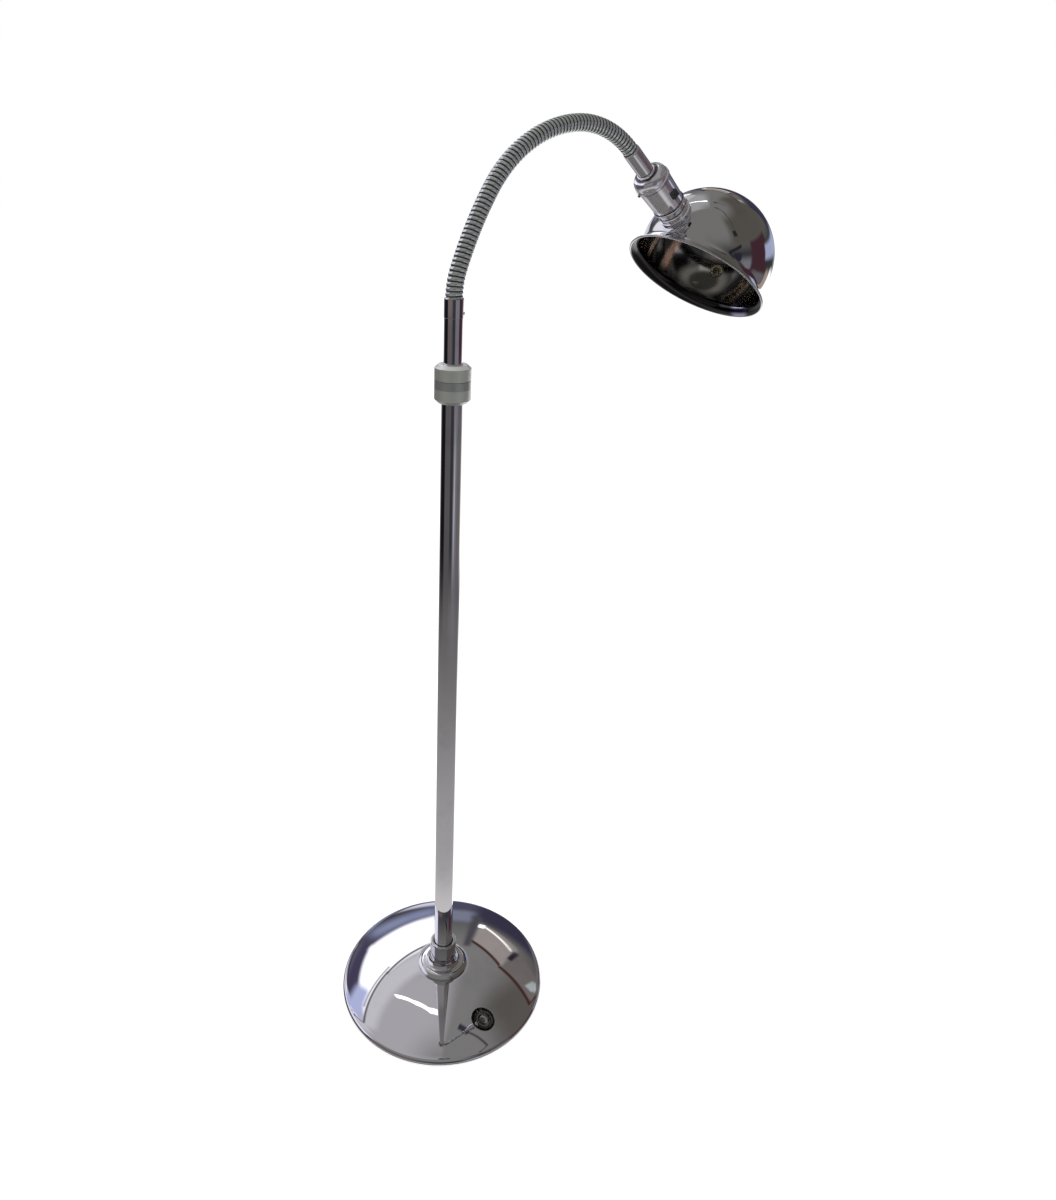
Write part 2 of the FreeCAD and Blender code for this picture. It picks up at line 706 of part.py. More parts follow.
def shade():
    """Crown and outward sweep meet without a crease, and the lip ends in a rolled bead."""
    crown_end = math.radians(CROWN_ANGLE)
    lip = math.radians(LIP_ANGLE)
    sweep_at = SHADE_R + FLARE_R

    def on_crown(radius, turn):
        return (radius * math.sin(turn), radius * math.cos(turn))

    def on_sweep(radius, turn):
        centre = on_crown(sweep_at, crown_end)
        return (centre[0] - radius * math.sin(turn), centre[1] - radius * math.cos(turn))

    inner = SHADE_R - SHADE_SHEET
    inner_sweep = FLARE_R + SHADE_SHEET
    half_crown = crown_end / 2
    half_sweep = (crown_end + lip) / 2
    body = turned([
        (0, SHADE_R),
        (on_crown(SHADE_R, half_crown), on_crown(SHADE_R, crown_end)),
        (on_sweep(FLARE_R, half_sweep), on_sweep(FLARE_R, lip)),
        on_sweep(inner_sweep, lip),
        (on_sweep(inner_sweep, half_sweep), on_sweep(inner_sweep, crown_end)),
        (on_crown(inner, half_crown), (0, inner)),
    ])
    bead_r, bead_z = on_sweep(FLARE_R + SHADE_SHEET / 2, lip)
    bead = Part.makeTorus(bead_r, RIM_BEAD_R, Vector(0, 0, bead_z))
    body = placed(body.fuse(bead), SHADE)
    hole = placed(rod(LINER_R + SEAT_GAP, RING_REACH - 5, RING_REACH + 20), HOLDER)
    return body.cut(hole)


# ---- Build -------------------------------------------------------------------------------------------------------

os.makedirs("parts", exist_ok=True)
pieces = {}

WASHER_TOP = PAD_THICK + NUT_POCKET_DEPTH
NUT_TOP = WASHER_TOP - WASHER_THICK
STUD_TOP = TUBE_FOOT + PLUG_LENGTH - 4

save(floor_pad(), "floor_pad")
save(base_weight(), "base_weight")
save(base_shell(), "base_shell")
save(ring(WASHER_R, STUD_R + PLAY, NUT_TOP, WASHER_TOP), "tie_washer")
save(hex_nut(NUT_FLATS, STUD_R + SEAT_GAP, NUT_TOP - NUT_THICK, NUT_THICK), "tie_nut")
save(rod(STUD_R, PAD_THICK + 0.5, STUD_TOP), "tie_stud")
save(turned([
    (0, STUD_TOP),
    (STUD_R + SEAT_GAP, STUD_TOP),
    (STUD_R + SEAT_GAP, TUBE_FOOT),
    (LOWER_TUBE_BORE - SEAT_GAP, TUBE_FOOT),
    (LOWER_TUBE_BORE - SEAT_GAP, TUBE_FOOT + PLUG_LENGTH),
    (0, TUBE_FOOT + PLUG_LENGTH),
]), "tube_plug")
save(flange(), "foot_flange")
save(lower_tube(), "lower_tube")
save(cable_grommet(), "cable_grommet")
save(collar_body(), "collar_body")
save(collet(), "collet")
save(clamp_nut(), "clamp_nut")
save(guide_bush(), "guide_bush")
save(ring(UPPER_TUBE_R, UPPER_TUBE_BORE, UPPER_TUBE_FOOT, MAST_FERRULE_FOOT), "upper_tube")
save(mast_ferrule(), "mast_ferrule")
save(screw_hole(SCREW_R), "neck_screw")
for number in range(1, NECK_LINKS + 1):
    save(neck_link(number), "neck_link_%02d" % number)
save(placed(head_ferrule(), HOLDER), "head_ferrule")
save(placed(ring(NIPPLE_R, NIPPLE_BORE_R, -NIPPLE_IN_FERRULE, NIPPLE_IN_CAP), HOLDER), "nipple")
save(placed(lampholder_cap(), HOLDER), "lampholder_cap")
save(placed(lampholder_shell(), HOLDER), "lampholder_shell")
save(placed(switch_body(), HOLDER), "switch_body")
save(placed(switch_bar(), HOLDER), "switch_bar")
save(placed(socket_liner(), HOLDER), "socket_liner")
save(placed(screw_shell(), HOLDER), "screw_shell")
save(placed(centre_contact(), HOLDER), "centre_contact")
save(placed(shade_ring(), HOLDER), "shade_ring")
save(placed(inner_nut(), HOLDER), "inner_nut")
save(shade(), "shade")

for name, solid in pieces.items():
    print("%-18s %3d faces %10.1f mm3" % (name, len(solid.Faces), solid.Volume))
print("neck end", NECK_END, "lean", math.degrees(HEAD_LEAN))
print("cap top", CAP_TOP, "crown centre", CROWN_CENTRE)
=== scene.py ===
from math import atan2, cos, hypot, pi, radians, sin, sqrt
import bpy
from mathutils import Matrix, Vector


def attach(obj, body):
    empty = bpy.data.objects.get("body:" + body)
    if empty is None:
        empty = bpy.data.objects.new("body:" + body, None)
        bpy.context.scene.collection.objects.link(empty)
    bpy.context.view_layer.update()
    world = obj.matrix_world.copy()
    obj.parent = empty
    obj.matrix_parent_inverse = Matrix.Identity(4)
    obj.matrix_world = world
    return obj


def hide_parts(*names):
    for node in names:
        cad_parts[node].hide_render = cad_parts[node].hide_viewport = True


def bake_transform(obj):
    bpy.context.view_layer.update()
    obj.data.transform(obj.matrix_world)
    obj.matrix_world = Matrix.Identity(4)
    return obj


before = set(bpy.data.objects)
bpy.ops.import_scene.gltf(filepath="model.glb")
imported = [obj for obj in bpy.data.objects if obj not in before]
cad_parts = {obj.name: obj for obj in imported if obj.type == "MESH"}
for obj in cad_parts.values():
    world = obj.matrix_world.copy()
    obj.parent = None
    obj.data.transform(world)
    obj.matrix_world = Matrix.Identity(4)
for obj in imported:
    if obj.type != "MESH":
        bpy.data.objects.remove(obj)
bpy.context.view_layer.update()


# ---- Spun base ----
# One steel sheet, spun over a former into a low dome and rolled under at the rim into a hem that stiffens
# it. It is polished in the lathe and chrome plated, so faint rings about the middle are left.

base_radius = 0.125
base_sheet = 0.0012
hem_radius = 0.004
hem_lift = 0.001
seat_radius = 0.0315
seat_height = 0.0275
dome_crown = 0.0026
stud_way = 0.0053


def arc_rings(start, end, bulge, steps):
    """Rings of a round stretch from start to end that stands `bulge` to the left of the straight line."""
    dr, dz = end[0] - start[0], end[1] - start[1]
    half = hypot(dr, dz) / 2
    radius = (half * half + bulge * bulge) / (2 * bulge)
    left = (-dz / (2 * half), dr / (2 * half))
    centre_r = (start[0] + end[0]) / 2 + left[0] * (bulge - radius)
    centre_z = (start[1] + end[1]) / 2 + left[1] * (bulge - radius)
    first = atan2(start[1] - centre_z, start[0] - centre_r)
    sweep = atan2(end[1] - centre_z, end[0] - centre_r) - first
    if sweep > pi + 1e-6:
        sweep -= 2 * pi
    if sweep < -pi - 1e-6:
        sweep += 2 * pi
    reach = abs(radius)
    turns = [first + sweep * k / steps for k in range(1, steps + 1)]
    return [(centre_r + reach * cos(t), centre_z + reach * sin(t)) for t in turns]


def only(piece):
    """Make the piece the only selected object."""
    bpy.ops.object.select_all(action="DESELECT")
    piece.select_set(True)
    bpy.context.view_layer.objects.active = piece


def settle():
    """Write the active object's place, turn and size into its mesh."""
    bpy.ops.object.transform_apply(location=True, rotation=True, scale=True)


def apply_modifier(piece, kind, **settings):
    """Add a modifier with these settings and apply it at once."""
    only(piece)
    modifier = piece.modifiers.new(kind.lower(), kind)
    for setting, value in settings.items():
        setattr(modifier, setting, value)
    bpy.ops.object.modifier_apply(modifier=modifier.name)


def smooth_walls(piece):
    """Shade smoothly up to the sharp edges; the long walls keep their own direction beside narrow bevels."""
    only(piece)
    bpy.ops.object.shade_smooth_by_angle(angle=radians(40))
    apply_modifier(piece, "WEIGHTED_NORMAL", weight=100, keep_sharp=True)


def turned_piece(name, rings, soften=0.0, sides=96, capped=False):
    """A lathe-turned piece about Z: a circle is drawn at the first ring and extruded from ring to ring.

    The last ring meets the first one again, or, where the piece is capped, both are closed with a face.
    """
    bpy.ops.object.select_all(action="DESELECT")
    radius, height = rings[0]
    bpy.ops.mesh.primitive_circle_add(vertices=sides, radius=radius, location=(0, 0, height))
    piece = bpy.context.object
    piece.name = name
    settle()
    bpy.ops.object.mode_set(mode="EDIT")
    bpy.ops.mesh.select_all(action="SELECT")
    for new_radius, new_height in rings[1:] + ([] if capped else rings[:1]):
        bpy.ops.mesh.extrude_region_move(TRANSFORM_OT_translate={"value": (0, 0, new_height - height)})
        grow = new_radius / radius
        bpy.ops.transform.resize(value=(grow, grow, 1), center_override=(0, 0, new_height))
        radius, height = new_radius, new_height
    bpy.ops.mesh.select_all(action="SELECT")
    bpy.ops.mesh.remove_doubles(threshold=1e-6)
    if capped:
        bpy.ops.mesh.fill_holes(sides=0)
        bpy.ops.mesh.select_all(action="SELECT")
    bpy.ops.mesh.normals_make_consistent(inside=False)
    bpy.ops.object.mode_set(mode="OBJECT")
    if soften:
        apply_modifier(piece, "BEVEL", width=soften, segments=2, limit_method="ANGLE",
                       angle_limit=radians(35))
    smooth_walls(piece)
    return piece


def new_group(name, inputs, outputs):
    """A shader group with named number and vector sockets, and its two end nodes."""
    group = bpy.data.node_groups.new(name, "ShaderNodeTree")
    for socket, value in inputs.items():
        kind = "NodeSocketVector" if value is None else "NodeSocketFloat"
        made = group.interface.new_socket(socket, in_out="INPUT", socket_type=kind)
        if value is not None:
            made.default_value = value
    for socket in outputs:
        group.interface.new_socket(socket, in_out="OUTPUT", socket_type="NodeSocketFloat")
    return group, group.nodes.new("NodeGroupInput").outputs, group.nodes.new("NodeGroupOutput").inputs


def feed(tree, socket, value):
    """Link a socket to the input, or set the input to a number."""
    if isinstance(value, bpy.types.NodeSocket):
        tree.links.new(value, socket)
    else:
        socket.default_value = value


def set_input(tree, name, value):
    """Feed an input of the material's main shader."""
    feed(tree, tree.nodes["Principled BSDF"].inputs[name], value)


def add_node(tree, kind, inputs, **settings):
    """Place a shader node with these settings and inputs, and give its outputs."""
    node = tree.nodes.new("ShaderNode" + kind)
    for setting, value in settings.items():
        setattr(node, setting, value)
    for socket, value in inputs.items():
        feed(tree, node.inputs[socket], value)
    return node.outputs


def maths(tree, operation, *values):
    """Result of one Math node."""
    return add_node(tree, "Math", dict(enumerate(values)), operation=operation)[0]


def times(tree, first, second):
    """Product of two values."""
    return maths(tree, "MULTIPLY", first, second)


def noise(tree, vector, scale, detail=3.0, roughness=0.5):
    """Uneven value between 0 and 1."""
    inputs = {"Vector": vector, "Scale": scale, "Detail": detail, "Roughness": roughness}
    return add_node(tree, "TexNoise", inputs)["Fac"]


def spread(tree, value, low, high, new_low=0.0, new_high=1.0):
    """Where the value goes from low to high, the result goes smoothly from new_low to new_high."""
    inputs = {"Value": value, "From Min": low, "From Max": high, "To Min": new_low, "To Max": new_high}
    return add_node(tree, "MapRange", inputs, interpolation_type="SMOOTHSTEP")[0]


def blended(tree, mask, first, second):
    """Colour that goes from first to second with the mask."""
    ends = [end if isinstance(end, bpy.types.NodeSocket) else (*end, 1) for end in (first, second)]
    return add_node(tree, "Mix", {"Factor": mask, 6: ends[0], 7: ends[1]}, data_type="RGBA")[2]


def parts_of(tree, vector):
    """The vector's x, y and z."""
    return add_node(tree, "SeparateXYZ", {0: vector})


def joined(tree, *parts):
    """Vector with these parts."""
    return add_node(tree, "CombineXYZ", dict(enumerate(parts)))[0]


def off_axis(tree, place):
    """Distance from the Z axis."""
    squares = [maths(tree, "POWER", side, 2.0) for side in (place[0], place[1])]
    return maths(tree, "SQRT", maths(tree, "ADD", *squares))


def relief(tree, height, strength, depth, **below):
    """Normal of a fine relief, laid over another Normal where that is given."""
    return add_node(tree, "Bump", {"Height": height, "Strength": strength, "Distance": depth, **below})[0]


def use_group(tree, group, **values):
    """Place a group with its own values, and give its outputs."""
    return add_node(tree, "Group", values, node_tree=group)


# Plate haze: the dull breath, finger marks and fine specks that lie on every bright plated surface.
haze, given, result = new_group("plate haze", {"Vector": None, "Size": 30.0}, ["Marks"])
clouds = spread(haze, noise(haze, given["Vector"], given["Size"], 4.0, 0.6), 0.48, 0.75)
specks = spread(haze, noise(haze, given["Vector"], 900.0, 2.0), 0.64, 0.76, 0.0, 0.5)
haze.links.new(maths(haze, "MAXIMUM", clouds, specks), result["Marks"])

# Turning lines: the faint rings that tool and polishing cloth leave round a turned or spun piece.
line_sizes = {"Vector": None, "Across": 900.0, "Along": 900.0}
lines, given, result = new_group("turning lines", line_sizes, ["Height"])
place = parts_of(lines, given["Vector"])
across = times(lines, off_axis(lines, place), given["Across"])
ring_place = joined(lines, across, times(lines, place[2], given["Along"]))
lines.links.new(noise(lines, ring_place, 1.0, 3.0, 0.7), result["Height"])


def new_material(name, lay):
    """A material, its nodes and the place on the piece, in the piece's own turned frame if it has one."""
    material = bpy.data.materials.new(name)
    material.use_nodes = True
    tree = material.node_tree
    where = add_node(tree, "TexCoord", {})["Object"]
    if lay:
        own = {"Vector": where, "Location": lay[0], "Rotation": (0, lay[1], 0)}
        where = add_node(tree, "Mapping", own, vector_type="TEXTURE")[0]
    return material, tree, where


def plated(name, tint, bright, dull, size=30.0, across=900.0, along=900.0, depth=0.000004, lay=None,
           metallic=1.0):
    """Bright plate: haze lifts the roughness from bright to dull, over fine turning lines about the axis."""
    material, tree, where = new_material(name, lay)
    set_input(tree, "Metallic", metallic)
    marks = use_group(tree, haze, Vector=where, Size=size)["Marks"]
    set_input(tree, "Base Color", blended(tree, marks, tint, [0.88 * c for c in tint]))
    set_input(tree, "Roughness", spread(tree, marks, 0.0, 1.0, bright, dull))
    height = use_group(tree, lines, Vector=where, Across=across, Along=along)["Height"]
    set_input(tree, "Normal", relief(tree, height, 0.4, depth))
    return material


def dress(piece, material, slot, body, *nodes):
    """Give the piece its finish, let it ride on its body and stand for its CAD nodes."""
    piece.data.materials.clear()
    piece.data.materials.append(material)
    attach(piece, body)
    if nodes:
        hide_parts(*nodes)
    return piece


hem_middle = base_radius - hem_radius
hem_end = hem_middle - hem_radius
foot = (hem_middle, hem_lift + 2 * hem_radius)
top = (seat_radius, seat_height)
foot_inside = (foot[0], foot[1] - base_sheet)
top_inside = (top[0], top[1] - base_sheet)
hem_foot = (hem_middle, hem_lift)
hem_foot_inside = (hem_middle, hem_lift + base_sheet)

dome_rings = [(stud_way, seat_height), top]
dome_rings += arc_rings(top, foot, dome_crown, 32)
dome_rings += arc_rings(foot, hem_foot, hem_radius, 12)
dome_rings += [(hem_end, hem_lift), (hem_end, hem_lift + base_sheet), hem_foot_inside]
dome_rings += arc_rings(hem_foot_inside, foot_inside, base_sheet - hem_radius, 8)
dome_rings += arc_rings(foot_inside, top_inside, -dome_crown, 16)
dome_rings += [(stud_way, top_inside[1])]

sheet_chrome = plated("base chrome", (0.72, 0.715, 0.755), 0.012, 0.06, 14.0, 700.0, 0.0, 0.000002)
dome = turned_piece("base_dome", dome_rings, sides=160)
dress(dome, sheet_chrome, "chromed_sheet", "base", "base_shell")


# ---- Ballast, floor pad and tie ----
# A disc of raw cast iron under the dome gives the lamp its stand. A tie stud with washer and nut pulls
# mast, flange, dome and ballast together from below, and a rubber disc under it all spares the floor.

def plain(name, colour, dark, roughness, metallic=0.0, size=60.0, depth=0.0001):
    """Unpolished surface: uneven colour and roughness, with a grain of its own size."""
    material, tree, where = new_material(name, None)
    set_input(tree, "Metallic", metallic)
    patches = noise(tree, where, size, 5.0, 0.6)
    set_input(tree, "Base Color", blended(tree, patches, dark, colour))
    set_input(tree, "Roughness", spread(tree, patches, 0.3, 0.7, roughness + 0.1, roughness))
    set_input(tree, "Normal", relief(tree, noise(tree, where, 12 * size), 0.5, depth))
    return material


def dress_nodes(material, slot, *nodes):
    """Finish for CAD nodes that are shown as they are."""
    for node in nodes:
        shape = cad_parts[node]
        shape.data.materials.clear()
        shape.data.materials.append(material)


black_rubber = plain("black rubber", (0.028, 0.028, 0.03), (0.018, 0.018, 0.019), 0.6, size=90.0)
cast_iron = plain("cast iron", (0.09, 0.088, 0.085), (0.05, 0.047, 0.045), 0.62, 0.4, 45.0, 0.0004)
zinc = plain("zinc plate", (0.62, 0.62, 0.58), (0.5, 0.5, 0.47), 0.3, 1.0, 120.0, 0.00003)
black_plastic = plain("black plastic", (0.022, 0.022, 0.024), (0.014, 0.014, 0.015), 0.35, size=150.0,
                      depth=0.00002)
dress_nodes(black_rubber, "black_rubber", "floor_pad", "cable_grommet")
dress_nodes(cast_iron, "cast_ballast", "base_weight")
dress_nodes(zinc, "zinc_steel", "tie_washer", "tie_nut", "tie_stud", "tube_plug", "nipple")
dress_nodes(black_plastic, "black_plastic", "collet", "guide_bush", "switch_body")


# ---- Foot flange ----
# A turned cup stands on the dome: a low ring with a fine step, a round sweep, and a sleeve that holds the
# mast. The sleeve's rim is rounded outside and bevelled inside, so a dark crescent shows round the tube.

flange_radius = 0.0305
flange_edge = 0.0022
flange_bevel = 0.0008
step_radius = 0.023
step_height = 0.006
step_round = 0.0007
soft_edge = 0.0002
sleeve_radius = 0.016
sleeve_top = 0.0355
sleeve_lip = 0.0015
sleeve_mouth = 0.0012
flange_sweep = 0.007
tube_seat = 0.01115
flange_floor = 0.0055
quarter_bulge = 1 - sqrt(0.5)

sleeve_foot = (sleeve_radius, step_height + flange_sweep)
sleeve_rim = (sleeve_radius - sleeve_lip, sleeve_top)
flange_rings = [(stud_way, 0), (flange_radius - flange_bevel, 0), (flange_radius, flange_bevel)]
flange_rings += [(flange_radius, flange_edge)]
flange_rings += arc_rings(flange_rings[-1], (step_radius, step_height - step_round), -step_round, 8)
flange_rings += [(step_radius, step_height)]
flange_rings += arc_rings(flange_rings[-1], sleeve_foot, flange_sweep * quarter_bulge, 10)
flange_rings += [(sleeve_radius, sleeve_top - sleeve_lip)]
flange_rings += arc_rings(flange_rings[-1], sleeve_rim, -sleeve_lip * quarter_bulge, 6)
flange_rings += [(tube_seat + sleeve_mouth, sleeve_top), (tube_seat, sleeve_top - 2 * sleeve_mouth)]
flange_rings += [(tube_seat, flange_floor), (stud_way, flange_floor)]
flange_rings = [(r, z + seat_height) for r, z in flange_rings]

fitting_chrome = plated("fitting chrome", (0.66, 0.66, 0.68), 0.02, 0.1, 60.0, 1500.0, 1500.0)
flange = turned_piece("foot_flange_turned", flange_rings, soft_edge)
dress(flange, fitting_chrome, "chromed_fittings", "base", "foot_flange")


# ---- Lower mast tube ----
# Drawn steel tube, polished lengthwise and chrome plated, and dulled by hands. Near the foot its colour is
# painted paler, a painted reflection. The outlet for the cable is drilled there at the back, and a rubber
# grommet lines it.

lower_radius = 0.0111
lower_bore = 0.0099
tube_foot = 0.033
tube_top = 0.7674
outlet_height = 0.09
outlet_radius = 0.004
outlet_band = 0.0056
drill_length = 0.02
foot_highlight_low = 0.11
foot_highlight_high = 0.2


def cut_away(piece, cutter):
    """Cut the cutter's shape out of the piece, and drop the cutter."""
    apply_modifier(piece, "BOOLEAN", operation="DIFFERENCE", solver="EXACT", object=cutter)
    bpy.data.objects.remove(cutter)
    smooth_walls(piece)


def paint_over(tree, mask, paint):
    """Where the mask is 1, the paint takes the place of the material's own base colour."""
    socket = tree.nodes["Principled BSDF"].inputs["Base Color"]
    tree.links.new(blended(tree, mask, socket.links[0].from_socket, paint), socket)


tube_heights = [tube_foot, outlet_height - outlet_band, outlet_height + outlet_band, tube_top]
tube_rings = [(lower_radius, height) for height in tube_heights]
tube_rings += [(lower_bore, height) for height in reversed(tube_heights)]

tube_chrome = plated("tube chrome", (0.64, 0.63, 0.66), 0.02, 0.09, 22.0, 0.0, 9.0, 0.000004)
tree = tube_chrome.node_tree
height = parts_of(tree, add_node(tree, "TexCoord", {})["Object"])[2]
# Painted reflection: near the foot the tube's colour is painted paler.
paint_over(tree, spread(tree, height, foot_highlight_low, foot_highlight_high, 1.0, 0.0), (0.97, 0.96, 0.98))
lower_tube = turned_piece("lower_mast_tube", tube_rings)
bpy.ops.mesh.primitive_cylinder_add(vertices=48, radius=outlet_radius, depth=drill_length,
                                    location=(0, 0.6 * drill_length, outlet_height),
                                    rotation=(pi / 2, 0, 0))
cut_away(lower_tube, bpy.context.object)
dress(lower_tube, tube_chrome, "chromed_tube", "base", "lower_tube")


# ---- Height clamp ----
# The collar is pressed on the lower tube, and the nut is screwed on it over a split nylon collet. Both are
# turned from bar, satin nickel plated, bevelled at the outer ends and knurled where the fingers hold them.

collar_radius = 0.0185
collar_foot = 0.7534
collar_top = 0.7766
collar_bevel = 0.0042
bevel_slope = 0.9
smooth_band = 0.0086
spigot_radius = 0.0146
spigot_top = 0.7836
collet_seat = 0.01265
collet_foot = 0.7756
tube_way = 0.009825
clamp_foot = 0.7769
clamp_top = 0.7925
clamp_bevel = 0.0038
clamp_ceiling = 0.7895
clamp_thread = 0.0149
grip_edge = 0.0003
knurl_start = 0.0012
knurl_fade = 0.0004
knurl_pitch = 0.0012

# Knurl: two crossed sets of fine grooves round a turned grip, between two heights.
knurl_sizes = {"Vector": None, "Low": 0.0, "High": 1.0, "Teeth": 100.0, "Pitch": 0.001}
knurl, given, result = new_group("knurl", knurl_sizes, ["Height"])
place = parts_of(knurl, given["Vector"])
turn = times(knurl, maths(knurl, "ARCTAN2", place[1], place[0]), given["Teeth"])
climb = times(knurl, maths(knurl, "DIVIDE", place[2], given["Pitch"]), 2 * pi)
cuts = []
for hand in ("ADD", "SUBTRACT"):
    half_turn = times(knurl, maths(knurl, hand, turn, climb), 0.5)
    cuts.append(maths(knurl, "ABSOLUTE", maths(knurl, "SINE", half_turn)))
starts = spread(knurl, place[2], given["Low"], maths(knurl, "ADD", given["Low"], knurl_fade))
ends = spread(knurl, place[2], maths(knurl, "SUBTRACT", given["High"], knurl_fade), given["High"], 1.0, 0.0)
pyramids = maths(knurl, "POWER", maths(knurl, "MINIMUM", *cuts), 0.6)
knurl.links.new(times(knurl, pyramids, times(knurl, starts, ends)), result["Height"])


def satin(name, low, high, above_knurl):
    """Satin nickel over fine turning lines, knurled between two heights and of another shade above them."""
    material, tree, where = new_material(name, None)
    set_input(tree, "Metallic", 0.7)
    marks = use_group(tree, haze, Vector=where, Size=90.0)["Marks"]
    grip_colour = blended(tree, marks, (0.41, 0.425, 0.39), (0.385, 0.4, 0.365))
    above = spread(tree, parts_of(tree, where)[2], high, high + grip_edge)
    set_input(tree, "Base Color", blended(tree, above, grip_colour, above_knurl))
    set_input(tree, "Roughness", spread(tree, marks, 0.0, 1.0, 0.28, 0.34))
    grip = {"Low": low, "High": high, "Teeth": 96.0, "Pitch": knurl_pitch}
    grooves = use_group(tree, knurl, Vector=where, **grip)["Height"]
    fine = use_group(tree, lines, Vector=where, Across=2500.0, Along=2500.0)["Height"]
    cut = relief(tree, grooves, 0.5, 0.00012)
    set_input(tree, "Normal", relief(tree, fine, 0.4, 0.00002, Normal=cut))
    return material


collar_edge = collar_foot + bevel_slope * collar_bevel
collar_rings = [(tube_seat, collar_foot), (collar_radius - collar_bevel, collar_foot)]
collar_rings += [(collar_radius, collar_edge), (collar_radius, collar_top)]
collar_rings += [(spigot_radius, collar_top), (spigot_radius, spigot_top), (collet_seat, spigot_top)]
collar_rings += [(collet_seat, collet_foot), (tube_way, collet_foot), (tube_way, tube_top)]
collar_rings += [(tube_seat, tube_top)]
collar_knurl = satin("collar nickel", collar_edge, collar_top - smooth_band, (0.27, 0.275, 0.27))
collar = turned_piece("height_collar", collar_rings, grip_edge)
dress(collar, collar_knurl, "satin_nickel", "base", "collar_body")

clamp_edge = clamp_top - bevel_slope * clamp_bevel
clamp_rings = [(clamp_thread, clamp_foot), (collar_radius, clamp_foot), (collar_radius, clamp_edge)]
clamp_rings += [(collar_radius - clamp_bevel, clamp_top), (tube_way, clamp_top), (tube_way, clamp_ceiling)]
clamp_rings += [(clamp_thread, clamp_ceiling)]
# Painted highlight: the clamp nut's top bevel, above the knurl, is painted pale.
clamp_knurl = satin("clamp nickel", clamp_foot + knurl_start, clamp_edge, (0.8, 0.8, 0.78))
clamp = turned_piece("height_clamp_nut", clamp_rings, grip_edge)
dress(clamp, clamp_knurl, "satin_nickel", "clamp", "clamp_nut")


# ---- Upper mast ----
# The thinner steel tube, chromed like the lower one, slides in it. A short turned ferrule closes its top and
# takes the neck, which a small slotted grub screw holds.

upper_radius = 0.009525
upper_bore = 0.008325
upper_foot = 0.215
ferrule_foot = 0.838
mast_top = 0.857
ferrule_radius = 0.0098
ferrule_shoulder = 0.0009
spigot_length = 0.016
spigot_play = 0.00005
neck_way = 0.0089
wire_way = 0.0036
neck_depth = 0.009
screw_azimuth = radians(-42)
screw_drop = 0.0145
screw_radius = 0.0015
screw_length = 0.0054
screw_reach = 0.0105
screw_slot = 0.0006

upper_rings = [(upper_radius, upper_foot), (upper_radius, ferrule_foot), (upper_bore, ferrule_foot)]
upper_rings += [(upper_bore, upper_foot)]
upper_tube = turned_piece("upper_mast_tube", upper_rings, soft_edge)
dress(upper_tube, tube_chrome, "chromed_tube", "mast", "upper_tube")

spigot = upper_bore - spigot_play
ferrule_rings = [(spigot, ferrule_foot - spigot_length), (spigot, ferrule_foot)]
ferrule_rings += [(ferrule_radius, ferrule_foot), (ferrule_radius, mast_top - ferrule_shoulder)]
ferrule_rings += arc_rings(ferrule_rings[-1], (neck_way, mast_top), -ferrule_shoulder * quarter_bulge, 5)
ferrule_rings += [(neck_way, mast_top - neck_depth), (wire_way, mast_top - neck_depth)]
ferrule_rings += [(wire_way, ferrule_foot - spigot_length)]
mast_ferrule = turned_piece("mast_top_ferrule", ferrule_rings, soft_edge)
dress(mast_ferrule, fitting_chrome, "chromed_fittings", "mast", "mast_ferrule")


def block(scale, location, turn=0.0):
    """A box of this size about its place, turned about Z."""
    bpy.ops.object.select_all(action="DESELECT")
    bpy.ops.mesh.primitive_cube_add(size=1, scale=scale, location=location, rotation=(0, 0, turn))
    return bpy.context.object


def slotted_screw(name, radius, length, slot, azimuth, reach, height):
    """A screw drawn along Z and slotted across its end, then turned outward and set at its place."""
    bpy.ops.object.select_all(action="DESELECT")
    bpy.ops.mesh.primitive_cylinder_add(vertices=24, radius=radius, depth=length,
                                        location=(0, 0, -length / 2))
    screw = bpy.context.object
    screw.name = name
    settle()
    apply_modifier(screw, "BEVEL", width=0.15 * radius, segments=2, limit_method="ANGLE")
    cut_away(screw, block((4 * radius, slot, slot), (0, 0, 0)))
    screw.rotation_euler = (0, pi / 2, azimuth)
    screw.location = (reach * cos(azimuth), reach * sin(azimuth), height)
    settle()
    return screw


grub = slotted_screw("neck_grub_screw", screw_radius, screw_length, screw_slot, screw_azimuth, screw_reach,
                     mast_top - screw_drop)
dress(grub, zinc, "zinc_steel", "mast", "neck_screw")


# ---- Coiled flexible neck ----
# A gooseneck is wound from two chromed steel wires, a round one and a three-cornered one that locks between
# its turns. It shows bright round coils with painted shade in the grooves between, and stays where it is
# bent.

link_length = 0.0271
coils_per_link = 6
coil_crest = 0.00875
coil_root = 0.0076
neck_bends = ((1, 20.0), (3, 12.0), (5, 54.5), (3, 42.0))  # stretches: (links, turn in degrees)
link_turns = [radians(turn / links) for links, turn in neck_bends for _ in range(links)]
neck_links = len(link_turns)
coil_pitch = link_length / coils_per_link
bend_reach = 0.0095


def neck_at(length):
    """Point and lean of the neck's centre line at a length from the mast's top."""
    x, z, lean = 0.0, mast_top, 0.0
    if length < 0:
        return Vector((x, 0, z + length)), lean
    for turn in link_turns:
        radius = link_length / turn
        new = lean + min(max(length, 0.0), link_length) / radius
        x += radius * (cos(lean) - cos(new))
        z += radius * (sin(new) - sin(lean))
        lean = new
        length -= link_length
    past = max(length, 0.0)
    return Vector((x + past * sin(lean), 0, z + past * cos(lean))), lean


